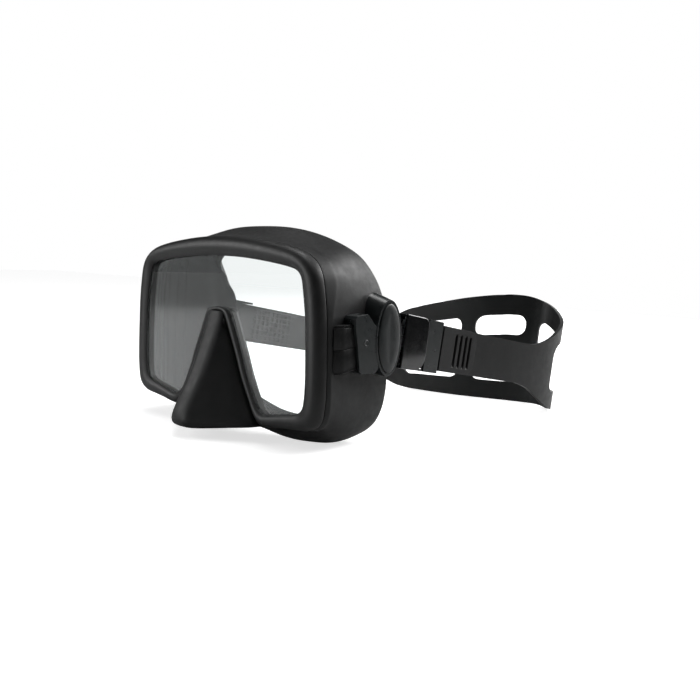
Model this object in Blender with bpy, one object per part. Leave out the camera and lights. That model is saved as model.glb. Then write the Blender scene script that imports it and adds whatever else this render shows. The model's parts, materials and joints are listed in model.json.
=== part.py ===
"""Single-lens diving mask with swivel buckles and a rubber head strap.

Built in metres with +Z up.  The mask faces -Y, +X is the wearer's left.  The origin is under
the middle of the bounding box, on the floor that the skirt and the strap rest on.
Lengths in the drawing functions are millimetres and are scaled once, in add_solid.
"""
import math

import bmesh
import bpy
import numpy as np
from mathutils import Matrix, Vector

MM = 0.001

# Whole mask, millimetres.  Depths (y) are counted back from the glass, heights (z) from the floor.
DEPTH_SHIFT = 104.1          # distance from the glass to the middle of the whole assembly
GLASS_THICKNESS = 3.8
GLASS_LIP = 2.4              # how far the glass reaches into the rim's groove
RIM_GROOVE = 2.75
RIM_BACK = 7.6
SKIRT_WALL = 2.3
POCKET_WALL = 2.2

# Swivel buckle, one per side.
SWIVEL_Y = 39.3
SWIVEL_Z = 57.0
STRAP_TILT = math.radians(9.7)   # the strap falls towards the floor behind the mask
BASE_X = 79.7                # inner face of the buckle base
FLOOR_X = 81.2               # floor of the oval cup
SLOT_X = 86.3                # outer side of the slot that the buckle arm swings in
LIP_X = 87.8                 # outer face of the oval lip
OVAL_Y = 9.3                 # half width of the oval lip
OVAL_Z = 19.0                # half height of the oval lip
ANCHOR_X = 83.6
ANCHOR_Y = 22.0
EYE_R = 2.9                  # outside radius of the tab's eye
PIN_R = 1.25
TAB_Z = 53.5
TAB_HALF = 11.0
ARM_X = (81.6, 83.2)         # the arm's two faces
CHEEK_IN = 12.65
CHEEK_OUT = 13.8
COVER_X = (86.5, 88.1)
BUTTON_X = 86.4              # underside of the release button
PAWL_X = 85.3
PAWL_T = 13.2

# Strap, in its own tilted frame: t runs back from the swivel axis, n runs up.
STRAP_THICK = 2.2
STRAP_HALF = 12.3
ROLLER_X = 79.85
ROLLER_T = 16.6
ROLLER_R = 2.0
WRAP_R = ROLLER_R + 0.15 + STRAP_THICK / 2


def clear_scene():
    for obj in list(bpy.data.objects):
        bpy.data.objects.remove(obj, do_unlink=True)


def new_material(name, colour, roughness, metallic=0.0, alpha=1.0):
    material = bpy.data.materials.new(name)
    material.use_nodes = True
    shader = material.node_tree.nodes["Principled BSDF"]
    shader.inputs["Base Color"].default_value = (*colour, 1.0)
    shader.inputs["Roughness"].default_value = roughness
    shader.inputs["Metallic"].default_value = metallic
    shader.inputs["Alpha"].default_value = alpha
    return material


RUBBER = (0.032, 0.034, 0.035)
RUBBER_STRAP = (0.040, 0.042, 0.043)
RIM_PLASTIC = (0.026, 0.027, 0.028)
GLOSSY = (0.016, 0.019, 0.020)
STEEL = (0.62, 0.63, 0.64)
CLEAR = (0.80, 0.86, 0.85)


def add_solid(name, points, faces, colour, roughness, metallic=0.0, alpha=1.0, parent=None, smooth=35.0):
    """Makes one closed solid from points in millimetres, with its faces turned outward.

    A name that ends in _R is drawn on the left side and mirrored here.
    """
    if name.endswith("_R"):
        points = [(-point[0], point[1], point[2]) for point in points]
    mesh = bpy.data.meshes.new(name)
    mesh.from_pydata([tuple(float(value) * MM for value in point) for point in points], [], faces)
    mesh.validate()
    work = bmesh.new()
    work.from_mesh(mesh)
    bmesh.ops.recalc_face_normals(work, faces=work.faces)
    if work.calc_volume(signed=True) < 0:
        bmesh.ops.reverse_faces(work, faces=work.faces)
    work.to_mesh(mesh)
    work.free()
    mesh.shade_smooth()
    mesh.set_sharp_from_angle(angle=math.radians(smooth))
    mesh.materials.append(new_material(name + "_mat", colour, roughness, metallic, alpha))
    obj = bpy.data.objects.new(name, mesh)
    bpy.context.scene.collection.objects.link(obj)
    if parent is None:
        obj.location = (0.0, -DEPTH_SHIFT * MM, 0.0)
    else:
        obj.parent = parent
    return obj


def put_origin(obj, x, y, z):
    """Moves an object's origin onto its joint axis, given where the object was drawn."""
    shift = Vector((x, y, z)) * MM
    if obj.name.endswith("_R"):
        shift.x = -shift.x
    obj.data.transform(Matrix.Translation(-shift))
    obj.location = obj.location + shift


def add_frame(name, y, z, tilt):
    """An empty on a lateral axis at (y, z), leaning back by the tilt angle."""
    frame = bpy.data.objects.new(name, None)
    frame.location = (0.0, (y - DEPTH_SHIFT) * MM, z * MM)
    frame.rotation_euler = (-tilt, 0.0, 0.0)
    bpy.context.scene.collection.objects.link(frame)
    return frame


# ---------------------------------------------------------------- curve helpers

def spline(points, per_span, closed):
    """Catmull-Rom curve through the points, with per_span samples for each span."""
    points = np.asarray(points, float)
    count = len(points)
    spans = count if closed else count - 1
    out = []
    for i in range(spans):
        if closed:
            before, start, end, after = (points[(i + k) % count] for k in (-1, 0, 1, 2))
        else:
            before = points[max(i - 1, 0)]
            start = points[i]
            end = points[i + 1]
            after = points[min(i + 2, count - 1)]
        for step in range(per_span):
            u = step / per_span
            out.append(0.5 * (2 * start + (end - before) * u
                              + (2 * before - 5 * start + 4 * end - after) * u * u
                              + (3 * start - before - 3 * end + after) * u ** 3))
    if not closed:
        out.append(points[-1])
    return np.array(out)


def mirrored(half):
    """Closes a half outline that starts and ends on x = 0 with its mirror image."""
    half = np.asarray(half, float)
    other = half[1:-1][::-1].copy()
    other[:, 0] *= -1
    return np.vstack([half, other])


def inward(outline):
    """Unit vectors in the XZ plane that point into a closed outline given clockwise from its top."""
    ahead = np.roll(outline, -1, axis=0) - np.roll(outline, 1, axis=0)
    normal = np.stack([-ahead[:, 1], ahead[:, 0]], axis=1)
    normal /= np.linalg.norm(normal, axis=1)[:, None]
    middle = outline.mean(axis=0)
    if ((middle - outline) * normal).sum() < 0:
        normal = -normal
    return normal


def ring_faces(rings, sides):
    """Quads of a closed tube: rings around it, sides around each ring."""
    faces = []
    for i in range(rings):
        for j in range(sides):
            a = i * sides + j
            b = i * sides + (j + 1) % sides
            c = ((i + 1) % rings) * sides + (j + 1) % sides
            d = ((i + 1) % rings) * sides + j
            faces.append((a, b, c, d))
    return faces


def smooth_step(value, low, high):
    share = np.clip((value - low) / (high - low), 0.0, 1.0)
    return share * share * (3 - 2 * share)


# ---------------------------------------------------------------- glass, rim, skirt, nose pocket

# Right half of the visible glass and of the rim's outer edge, matched point by point (x, z).
GLASS_HALF = [
    (0, 94.6), (17.8, 94.3), (34.2, 93.2), (49.7, 91.6), (58.5, 90.3), (63.3, 88.9), (66.3, 85.8),
    (67.8, 79.9), (69.7, 67.3), (70.5, 54), (71, 38), (70.6, 28.5), (69.4, 23), (66, 20.1),
    (60, 18.7), (52.6, 17.4), (45, 16), (39.5, 15.4), (34.8, 18), (31, 22.6), (24.8, 33.8),
    (20.2, 44.2), (15.2, 54.6), (11.3, 62.6), (8.0, 66.5), (0, 67.6)]
RIM_HALF = [
    (0, 105.3), (19, 104.7), (36, 103.2), (52, 101), (63.5, 98.4), (71, 94.5), (75.8, 88.8),
    (78.2, 81), (80, 68), (80.8, 54), (81.2, 38), (80.8, 25), (78.5, 16.5), (72, 12.2),
    (62, 11), (52, 10), (43, 8.8), (36.5, 9.2), (31.5, 13.5), (27.3, 20.2), (20.2, 32.5),
    (15.8, 42.4), (10.8, 52.4), (6.6, 60.6), (4.2, 63.6), (0, 65.0)]

# Rim section: (share of the way from the glass edge to the outer edge, depth).
RIM_SECTION = [(0.0, -0.15), (0.02, -1.1), (0.16, -2.2), (0.42, -2.6), (0.68, -1.9), (0.88, -0.3),
               (0.98, 2.2), (1.0, 5.0), (1.0, RIM_BACK), (0.55, RIM_BACK), (0.06, RIM_BACK), (0.06, 4.1)]


def glass_and_rim_outlines():
    return spline(mirrored(GLASS_HALF), 2, True), spline(mirrored(RIM_HALF), 2, True)


def build_lens():
    glass, rim = glass_and_rim_outlines()
    out = rim - glass
    out /= np.linalg.norm(out, axis=1)[:, None]
    width = np.linalg.norm(rim - glass, axis=1)
    edge = glass + out * np.minimum(GLASS_LIP, 0.45 * width)[:, None]
    count = len(edge)
    points = [(x, y, z) for y in (0.0, GLASS_THICKNESS) for x, z in edge]
    faces = [tuple(range(count)), tuple(range(2 * count - 1, count - 1, -1))]
    faces += [(i, i + count, (i + 1) % count + count, (i + 1) % count) for i in range(count)]
    add_solid("lens", points, faces, CLEAR, 0.03, alpha=0.35)


def build_rim():
    glass, rim = glass_and_rim_outlines()
    points = []
    for inner, outer in zip(glass, rim):
        width = np.linalg.norm(outer - inner)
        groove = min(RIM_GROOVE / width, 0.6)
        section = RIM_SECTION + [(groove, 4.1), (groove, -0.15)]
        crown = 0.4 + 0.6 * float(smooth_step(width, 2.5, 8.5))
        for share, depth in section:
            x, z = inner + (outer - inner) * share
            points.append((x, depth * crown if depth < -0.2 else depth, z))
    add_solid("front_rim", points, ring_faces(len(glass), len(RIM_SECTION) + 2), RIM_PLASTIC, 0.42)


# Skirt: three outlines of its outside, each point (x, y, z), and the widths of its front flange
# and of the soft lip that seals on the face.
SKIRT_FRONT = [
    (0, 104.9), (19, 104.3), (36, 102.8), (52, 100.6), (63.3, 98), (70.7, 94.2), (75.4, 88.6),
    (77.8, 80.9), (79.6, 68), (80.4, 54), (80.8, 38), (80.4, 25), (78.1, 16.8), (72, 12.6),
    (62, 11.4), (52, 10.4), (43, 9.0), (33, 7.4), (22, 6.2), (10, 5.5), (0, 5.3)]
SKIRT_WAIST = [
    (0, 15, 107.2), (19.5, 15, 106.5), (37, 15, 104.7), (53, 15, 102), (64.3, 15, 98.8), (71, 15.5, 94),
    (75.2, 16, 88), (77.4, 16, 80.5), (78.9, 16, 68), (79.2, 16, 54), (79.3, 16, 38.5), (79.2, 16, 25),
    (77.6, 15.5, 14.8), (72, 15, 7.6), (63, 14.5, 4.2), (53, 14, 2.2), (43, 13.5, 1.2), (33, 13, 1.6),
    (22, 12.5, 3.2), (10, 12.2, 4.2), (0, 12, 4.6)]
SKIRT_BELLY = [
    (0, 24, 110.8), (20, 24, 110.2), (37.5, 25, 107.7), (53, 26, 103.9), (64, 28, 99.4), (69.8, 30, 93.3),
    (73.6, 31, 86.5), (75.6, 32, 79), (77, 33, 67.5), (77.4, 33.5, 54), (77.7, 33, 39.5), (77.6, 32, 26),
    (76.2, 30, 13.8), (71.2, 28, 5), (62.5, 26, 1.0), (53, 24, 0.1), (42.5, 21, 0.2), (32, 19, 1.4),
    (21, 17.5, 4), (10, 16.5, 6.2), (0, 16, 6.8)]
SKIRT_REAR = [
    (0, 32, 111.8), (20, 32.5, 111.2), (37, 35, 108.5), (51.5, 38.5, 103.6), (61.5, 43, 97.5),
    (67, 46.5, 90), (70.8, 49, 82), (73, 51, 73), (74.6, 52.5, 64), (75, 53, 54), (75, 52.5, 42),
    (74.7, 53, 30), (73.4, 51.5, 17.5), (69.6, 48, 8), (61.5, 42, 2.3), (52, 35, 0.9), (41.5, 29.3, 1.3),
    (30, 25, 3), (20, 22.5, 6), (10, 21, 9), (0, 20.5, 9.8)]
FLANGE = [8.6] * 12 + [8.0, 6.6, 5.6, 5.2, 4.4, 3.0, 2.8, 2.8, 2.8]
LIP = [12, 12, 12.5, 14, 17, 20, 24, 27, 28.5, 29, 28, 24, 18, 13.5, 11.5, 11.5, 11.5, 11.5, 11.5, 11.5, 11.5]


def build_skirt():
    front = spline(mirrored([(x, RIM_BACK + 0.3, z) for x, z in SKIRT_FRONT]), 2, True)
    waist = spline(mirrored(SKIRT_WAIST), 2, True)
    belly = spline(mirrored(SKIRT_BELLY), 2, True)
    rear = spline(mirrored(SKIRT_REAR), 2, True)
    flange = spline(mirrored([(0.0, width) for width in FLANGE]), 2, True)[:, 1]
    lip = spline(mirrored([(0.0, width) for width in LIP]), 2, True)[:, 1]
    into = [inward(curve[:, [0, 2]]) for curve in (front, waist, belly, rear)]
    points = []
    for i in range(len(front)):

        def at(curve, direction, inset, back):
            x, y, z = curve[i]
            move = direction[i] * inset
            return (x + move[0], y + back, z + move[1])

        between = (belly + rear) / 2
        points += [
            at(front, into[0], 0.0, 0.0),
            at(waist, into[1], 0.0, 0.0),
            at(belly, into[2], 0.0, 0.0),
            at(between, into[2], -0.4, 0.0),
            at(rear, into[3], 0.0, 0.0),
            at(rear, into[3], 1.6, 1.3),
            at(rear, into[3], 0.6 * lip[i], 0.6),
            at(rear, into[3], lip[i], -1.6),
            at(rear, into[3], lip[i] - 0.3, -3.1),
            at(rear, into[3], 0.52 * lip[i], -1.9),
            at(rear, into[3], SKIRT_WALL + 0.4, -3.2),
            at(belly, into[2], SKIRT_WALL, 0.0),
            at(waist, into[1], SKIRT_WALL, 0.3),
            at(front, into[0], flange[i], 2.4),
            at(front, into[0], flange[i] + 0.6, 0.0),
        ]
    add_solid("skirt", points, ring_faces(len(front), 15), RUBBER, 0.62, smooth=50.0)


# Nose pocket rows, from the top of the nose to under the lip:
# (ridge height, ridge depth, ridge half width, edge x, edge z)
POCKET_ROWS = [
    (63.9, -2.9, 2.9, 2.9, 63.6), (61.8, -3.5, 4.7, 4.9, 61.4), (58, -4.8, 5.5, 7.2, 58),
    (52, -6.9, 5.8, 10.6, 52), (46, -9.2, 6.0, 13.6, 46), (40, -11.6, 6.0, 16.5, 40), (34, -14, 6.0, 19.2, 34),
    (28, -17, 6.0, 22.4, 28), (22, -20.2, 6.0, 25.9, 22), (16, -23.4, 6.1, 29.5, 16), (10.5, -25.8, 6.3, 32.9, 11.2),
    (7, -25.6, 6.4, 34.3, 9.0), (5, -23, 6.4, 34.6, 8.2), (4.2, -16, 6.4, 34.0, 7.7), (3.9, -8, 6.4, 33.0, 7.4),
    (4.2, 0, 6.4, 32.0, 7.2), (5.3, 7.3, 6.4, 31.0, 7.0)]


def pocket_row(row):
    """Half of one row of the pocket's outside, from its rear edge to the ridge."""
    ridge_z, ridge_y, ridge_half, edge_x, edge_z = row
    rear = np.array([edge_x, 7.3, edge_z])
    side = np.array([edge_x - 0.15, min(-0.4, ridge_y * 0.1) if ridge_y < 0 else 6.5, edge_z])
    corner = np.array([ridge_half + 0.9, ridge_y + 1.6, ridge_z])
    if ridge_y >= 0:
        side = rear + (corner - rear) * 0.1
        corner[1] = ridge_y
    ridge = np.array([ridge_half - 1.6, ridge_y, ridge_z])
    middle = np.array([0.0, ridge_y - 0.25, ridge_z])
    if ridge_y > 7:
        corner[1] = ridge[1] = middle[1] = 7.3
        side[1] = 7.3
    return [rear, side, side + (corner - side) * 0.3, side + (corner - side) * 0.65, corner, ridge, middle]


def build_nose_pocket():
    rows = []
    for row in POCKET_ROWS:
        half = pocket_row(row)
        other = [point * np.array([-1.0, 1.0, 1.0]) for point in half[:-1]]
        rows.append(half + other[::-1])
    outer = np.array(rows)
    along = np.gradient(outer, axis=0)
    across = np.gradient(outer, axis=1)
    normal = np.cross(along, across)
    normal /= np.linalg.norm(normal, axis=2)[:, :, None]
    if normal[8, 6, 1] > 0:
        normal = -normal
    wall = np.minimum(POCKET_WALL, 0.42 * np.array([row[3] for row in POCKET_ROWS]))
    inner = outer - normal * wall[:, None, None]
    inner[:, [0, -1], 1] = 7.3
    inner[-1, :, 1] = 7.3
    inner[-1, :, 2] = outer[-1, :, 2] + POCKET_WALL
    count_rows, count_cols = outer.shape[:2]
    points = np.vstack([outer.reshape(-1, 3), inner.reshape(-1, 3)])
    half = count_rows * count_cols
    faces = []
    for i in range(count_rows - 1):
        for j in range(count_cols - 1):
            a = i * count_cols + j
            quad = (a, a + 1, a + 1 + count_cols, a + count_cols)
            faces.append(quad)
            faces.append(tuple(index + half for index in quad[::-1]))
    border = [(0, j) for j in range(count_cols)] + [(i, count_cols - 1) for i in range(1, count_rows)]
    border += [(count_rows - 1, j) for j in range(count_cols - 2, -1, -1)]
    border += [(i, 0) for i in range(count_rows - 2, 0, -1)]
    loop = [i * count_cols + j for i, j in border]
    for k, here in enumerate(loop):
        there = loop[(k + 1) % len(loop)]
        faces.append((here, here + half, there + half, there))
    add_solid("nose_pocket", points, faces, RUBBER, 0.6, smooth=40.0)


# ---------------------------------------------------------------- simple solids

def extrude(name, outline, span, axis, look, parent=None, holes=()):
    """Prism of a flat outline, with holes if any, between two levels along one axis (0, 1 or 2)."""
    work = bmesh.new()
    others = [k for k in range(3) if k != axis]
    loops = []
    for level in span:
        edges = []
        made = []
        for ring in (outline, *holes):
            verts = []
            for u, v in ring:
                point = [0.0, 0.0, 0.0]
                point[others[0]] = u
                point[others[1]] = v
                point[axis] = level
                verts.append(work.verts.new(point))
            made.append(verts)
            edges += [work.edges.new((verts[k], verts[(k + 1) % len(verts)])) for k in range(len(verts))]
        bmesh.ops.triangle_fill(work, use_beauty=True, edges=edges)
        loops.append(made)
    for bottom, top in zip(*loops):
        for k in range(len(bottom)):
            m = (k + 1) % len(bottom)
            work.faces.new((bottom[k], bottom[m], top[m], top[k]))
    work.verts.index_update()
    points = [tuple(vert.co) for vert in work.verts]
    faces = [tuple(vert.index for vert in face.verts) for face in work.faces]
    work.free()
    return add_solid(name, points, faces, *look, parent=parent)


def block(name, low, high, look, parent=None):
    outline = [(low[0], low[1]), (high[0], low[1]), (high[0], high[1]), (low[0], high[1])]
    return extrude(name, outline, (low[2], high[2]), 2, look, parent)


def oval(centre, half_u, half_v, count):
    return [(centre[0] + half_u * math.cos(2 * math.pi * k / count),
             centre[1] + half_v * math.sin(2 * math.pi * k / count)) for k in range(count)]


def lathe(name, profile, centre, axis, count, look, parent=None):
    """Solid of revolution from (distance along the axis, radius) pairs, closed by flat ends."""
    others = [k for k in range(3) if k != axis]
    points = []
    for along, radius in profile:
        for u, v in oval((centre[others[0]], centre[others[1]]), radius, radius, count):
            point = [0.0, 0.0, 0.0]
            point[axis] = centre[axis] + along
            point[others[0]] = u
            point[others[1]] = v
            points.append(tuple(point))
    rings = len(profile)
    faces = [tuple(range(count)), tuple(range((rings - 1) * count, rings * count))]
    for i in range(rings - 1):
        for k in range(count):
            m = (k + 1) % count
            faces.append((i * count + k, i * count + m, (i + 1) * count + m, (i + 1) * count + k))
    return add_solid(name, points, faces, *look, parent=parent)


def join(body, others, operation):
    """Applies one exact Boolean for each other solid and removes that solid."""
    for other in others:
        modifier = body.modifiers.new(operation.lower(), "BOOLEAN")
        modifier.operation = operation
        modifier.solver = "EXACT"
        modifier.object = other
        bpy.context.view_layer.update()
        graph = bpy.context.evaluated_depsgraph_get()
        mesh = bpy.data.meshes.new_from_object(body.evaluated_get(graph))
        body.modifiers.clear()
        body.data = mesh
        bpy.data.objects.remove(other, do_unlink=True)
    keep = body.data.materials[0]
    body.data.materials.clear()
    body.data.materials.append(keep)
    work = bmesh.new()
    work.from_mesh(body.data)
    for face in work.faces:
        face.material_index = 0
    bmesh.ops.dissolve_limit(work, angle_limit=math.radians(0.5), verts=work.verts, edges=work.edges)
    work.to_mesh(body.data)
    work.free()
    body.data.set_sharp_from_angle(angle=math.radians(35.0))
    return body


# ---------------------------------------------------------------- buckle parts that stay with the mask

RUBBER_LOOK = (RUBBER, 0.62)
PLASTIC_LOOK = (GLOSSY, 0.28)
SHINY_LOOK = (GLOSSY, 0.12)
STEEL_LOOK = (STEEL, 0.3, 1.0)


def build_side_tab(tag):
    """Rubber tongue moulded to the skirt, ending in an eye round the anchor pin."""
    eye = [(ANCHOR_X + EYE_R * math.cos(math.radians(a)), ANCHOR_Y + EYE_R * math.sin(math.radians(a)))
           for a in range(-50, 211, 20)]
    outline = [(80.75, 8.3), (82.9, 8.3), (84.2, 11.0), (85.1, 14.5), (85.5, 18.2)] + eye
    outline += [(82.35, 19.3), (82.3, 15.8), (81.2, 13.4), (80.3, 11.0)]
    extrude("side_tab_" + tag, outline, (TAB_Z - TAB_HALF, TAB_Z + TAB_HALF), 2, RUBBER_LOOK,
            holes=[oval((ANCHOR_X, ANCHOR_Y), PIN_R + 0.1, PIN_R + 0.1, 16)])


def build_anchor_pin(tag):
    lathe("anchor_pin_" + tag, [(-13.6, PIN_R), (13.6, PIN_R)], (ANCHOR_X, ANCHOR_Y, TAB_Z + 1.1), 2, 16,
          STEEL_LOOK)


def build_buckle_base(tag):
    """Clamp plate with the anchor slot, and the oval cup of the swivel behind it."""
    side = "_" + tag
    plate = [(19.4, 41.6), (20.9, 40.5), (30.4, 40.3), (32.5, 42.4), (32.4, 46.0), (31.4, 54.0),
             (31.3, 61.8), (28.0, 65.2), (23.9, 69.2), (16.8, 68.4), (15.6, 67.0), (16.2, 61.0), (17.6, 54.0)]
    body = extrude("buckle_base" + side, plate, (BASE_X, LIP_X - 0.2), 0, PLASTIC_LOOK)
    web = block("web" + side, (BASE_X, 28.0, 43.0), (83.0, 41.0, 66.0), PLASTIC_LOOK)
    cup = extrude("cup" + side, oval((SWIVEL_Y, SWIVEL_Z), OVAL_Y, OVAL_Z, 40), (BASE_X, LIP_X), 0, PLASTIC_LOOK)
    join(body, [web, cup], "UNION")
    low = TAB_Z - TAB_HALF - 0.3
    high = TAB_Z + TAB_HALF + 0.3
    eye_room = extrude("room" + side, oval((ANCHOR_X, ANCHOR_Y), EYE_R + 0.3, EYE_R + 0.3, 20), (low, high), 2,
                       PLASTIC_LOOK)
    mouth = block("mouth" + side, (82.0, 14.0, low), (85.85, 21.0, high), PLASTIC_LOOK)
    pin_room = extrude("bore" + side, oval((ANCHOR_X, ANCHOR_Y), PIN_R + 0.08, PIN_R + 0.08, 16),
                       (30.0, 80.0), 2, PLASTIC_LOOK)
    hollow = extrude("hollow" + side, oval((SWIVEL_Y, SWIVEL_Z), OVAL_Y - 1.3, OVAL_Z - 1.5, 40),
                     (FLOOR_X, LIP_X + 1.0), 0, PLASTIC_LOOK)
    wedge = [(-1.5, 0.0), (8.4, -17.6), (14.0, -17.6), (14.0, 19.5), (7.6, 19.5)]
    slot = extrude("slot" + side, [(SWIVEL_Y + y, SWIVEL_Z + z) for y, z in wedge], (FLOOR_X, SLOT_X), 0,
                   PLASTIC_LOOK)
    bore = extrude("pivot" + side, oval((SWIVEL_Y, SWIVEL_Z), 2.0, 2.0, 24), (BASE_X - 1, FLOOR_X + 1), 0,
                   PLASTIC_LOOK)
    join(body, [eye_room, mouth, pin_room, hollow, slot, bore], "DIFFERENCE")


def build_swivel_pin(tag):
    lathe("swivel_pin_" + tag, [(0.0, 1.9), (3.65, 1.9), (3.66, 2.7), (4.2, 2.7)],
          (BASE_X + 0.05, SWIVEL_Y, SWIVEL_Z), 0, 24, STEEL_LOOK)


def build_release_button(tag):
    """Oval push button, slightly domed, that slides into the cup."""
    layers = [(BUTTON_X, 0.3), (88.1, 0.3), (88.55, 0.8), (88.8, 2.2), (88.9, 4.0)]
    count = 40
    points = []
    for x, inset in layers:
        ring = oval((SWIVEL_Y, SWIVEL_Z), OVAL_Y - 1.3 - inset, OVAL_Z - 1.5 - inset, count)
        points += [(x, y, z) for y, z in ring]
    faces = [tuple(range(count)), tuple(range((len(layers) - 1) * count, len(layers) * count))]
    for i in range(len(layers) - 1):
        for k in range(count):
            m = (k + 1) % count
            faces.append((i * count + k, i * count + m, (i + 1) * count + m, (i + 1) * count + k))
    button = add_solid("release_button_" + tag, points, faces, *PLASTIC_LOOK)
    put_origin(button, BUTTON_X, SWIVEL_Y, SWIVEL_Z)


def build_button_spring(tag):
    """Return spring between the floor of the cup and the button."""
    turns, around, sides, wire, coil = 4, 10, 5, 0.35, 1.9
    low, high = FLOOR_X + wire + 0.15, BUTTON_X - wire - 0.15
    centre_y, centre_z = SWIVEL_Y - 1.0, SWIVEL_Z + 12.2
    total = turns * around
    points = []
    for i in range(total + 1):
        angle = 2 * math.pi * i / around
        x = low + (high - low) * i / total
        for k in range(sides):
            turn = 2 * math.pi * k / sides
            reach = coil + wire * math.cos(turn)
            points.append((x + wire * math.sin(turn), centre_y + reach * math.cos(angle),
                           centre_z + reach * math.sin(angle)))
    faces = [tuple(range(sides)), tuple(range(total * sides, (total + 1) * sides))]
    for i in range(total):
        for k in range(sides):
            m = (k + 1) % sides
            faces.append((i * sides + k, i * sides + m, (i + 1) * sides + m, (i + 1) * sides + k))
    add_solid("button_spring_" + tag, points, faces, *STEEL_LOOK)


# ---------------------------------------------------------------- buckle parts that swing with the strap

def build_buckle_body(tag, frame):
    """Swinging frame: arm, two cheeks, back plate and the rear bridge over the strap."""
    side = "_" + tag
    eye = [(6.0 * math.cos(math.radians(a)), 6.0 * math.sin(math.radians(a))) for a in range(50, 311, 20)]
    arm = eye + [(8.5, -4.5), (10.2, -8.5), (11.9, -12.8), (11.9, 12.8), (10.2, 8.5), (8.5, 4.5)]
    body = extrude("buckle_body" + side, arm, ARM_X, 0, PLASTIC_LOOK, frame)
    cheek = [(76.9, 11.6), (86.2, 11.6), (86.2, 42.6), (74.3, 42.6), (74.3, 21.0), (75.7, 19.0), (76.9, 15.5)]
    top = extrude("top" + side, cheek, (CHEEK_IN, CHEEK_OUT), 2, PLASTIC_LOOK, frame)
    bottom = extrude("bottom" + side, cheek, (-CHEEK_OUT, -CHEEK_IN), 2, PLASTIC_LOOK, frame)
    back = block("back" + side, (74.3, 21.0, -13.2), (75.2, 34.0, 13.2), PLASTIC_LOOK, frame)
    bridge = block("bridge" + side, (85.2, 31.0, -CHEEK_OUT + 0.1), (87.0, 42.5, CHEEK_OUT - 0.1), PLASTIC_LOOK,
                   frame)
    bar = block("bar" + side, (81.65, 10.6, -13.2), (83.15, 11.85, 13.2), PLASTIC_LOOK, frame)
    join(body, [bar, top, bottom, back, bridge], "UNION")
    bore = extrude("bore" + side, oval((0.0, 0.0), 2.0, 2.0, 24), (80.0, 84.5), 0, PLASTIC_LOOK, frame)
    roller_hole = extrude("hole" + side, oval((ROLLER_X, ROLLER_T), 1.0, 1.0, 16), (-20, 20), 2, PLASTIC_LOOK,
                          frame)
    pawl_hole = extrude("pivot" + side, oval((PAWL_X, PAWL_T), 0.7, 0.7, 16), (-20, 20), 2, PLASTIC_LOOK, frame)
    join(body, [bore, roller_hole, pawl_hole], "DIFFERENCE")


def build_buckle_cover(tag, frame):
    """Glossy plate over the pawl, rounded behind."""
    corners = [(11.6, -13.9), (11.6, 13.9)]
    for centre_t, centre_n, radius, start in ((25.7, 9.9, 4.0, 90), (22.3, -5.9, 8.0, 0)):
        corners += [(centre_t + radius * math.cos(math.radians(start - 15 * k)),
                     centre_n + radius * math.sin(math.radians(start - 15 * k))) for k in range(7)]
    extrude("buckle_cover_" + tag, corners, COVER_X, 0, SHINY_LOOK, frame)


def build_roller(tag, frame):
    centre = (ROLLER_X, ROLLER_T)
    roller = extrude("roller_" + tag, oval(centre, ROLLER_R, ROLLER_R, 20), (-12.3, 12.3), 2, STEEL_LOOK, frame,
                     holes=[oval(centre, 1.0, 1.0, 20)])
    put_origin(roller, ROLLER_X, ROLLER_T, 0.0)


def build_roller_pin(tag, frame):
    lathe("roller_pin_" + tag, [(-13.7, 0.9), (13.7, 0.9)], (ROLLER_X, ROLLER_T, 0.0), 2, 16, STEEL_LOOK, frame)


def build_pawl(tag, frame):
    """Strap latch: a lever under the button and a toothed edge on the strap's tail."""
    side = "_" + tag
    x, t = PAWL_X, PAWL_T
    jaw = [(x - 1.3, t - 0.9), (x - 0.7, t - 1.3), (x + 0.7, t - 1.3), (x + 1.0, t - 0.4), (x + 0.6, t + 1.2),
           (x + 0.5, t + 5.6), (x - 0.1, t + 6.0), (x - 0.15, t + 4.4), (x - 0.55, t + 3.9), (x - 0.2, t + 1.6),
           (x - 1.3, t + 0.9)]
    body = extrude("pawl" + side, jaw, (-11.0, 11.0), 2, STEEL_LOOK, frame)
    lever = block("lever" + side, (x - 0.6, 3.2, -3.0), (x + 0.5, t - 0.2, 3.0), STEEL_LOOK, frame)
    join(body, [lever], "UNION")
    bore = extrude("bore" + side, oval((x, t), 0.7, 0.7, 16), (-12, 12), 2, STEEL_LOOK, frame)
    join(body, [bore], "DIFFERENCE")
    put_origin(body, x, t, 0.0)


def build_pawl_pin(tag, frame):
    lathe("pawl_pin_" + tag, [(-13.7, 0.6), (13.7, 0.6)], (PAWL_X, PAWL_T, 0.0), 2, 16, STEEL_LOOK, frame)


# ---------------------------------------------------------------- strap

# Plan of the strap in its own frame (x, t): the free end outside a buckle, the lead away from the
# buckle, and the loop behind the head from left to right.
TAIL_PATH = [(83.5, 76.5), (83.1, 66.0), (83.0, 54.0), (83.0, 44.0), (83.1, 34.0), (83.1, ROLLER_T)]
LEAD_PATH = [(76.6, ROLLER_T), (76.6, 30.0), (78.2, 38.0), (79.5, 46.0), (80.1, 62.0), (80.9, 80.0)]
LOOP_PATH = [
    (82.6, 100.0), (84.4, 120.0), (85.6, 140.0), (85.2, 157.0), (82.0, 171.0), (75.0, 181.5), (65.0, 188.5),
    (54.0, 190.5), (40.0, 186.0), (22.0, 178.0), (4.0, 171.5), (-15.0, 168.0), (-35.0, 166.5), (-55.0, 163.0),
    (-71.0, 154.0), (-80.5, 140.0), (-84.5, 122.0), (-84.3, 100.0)]
PATTERN_AT = 218.0           # distance from the left roller to the middle of the window pattern
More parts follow.
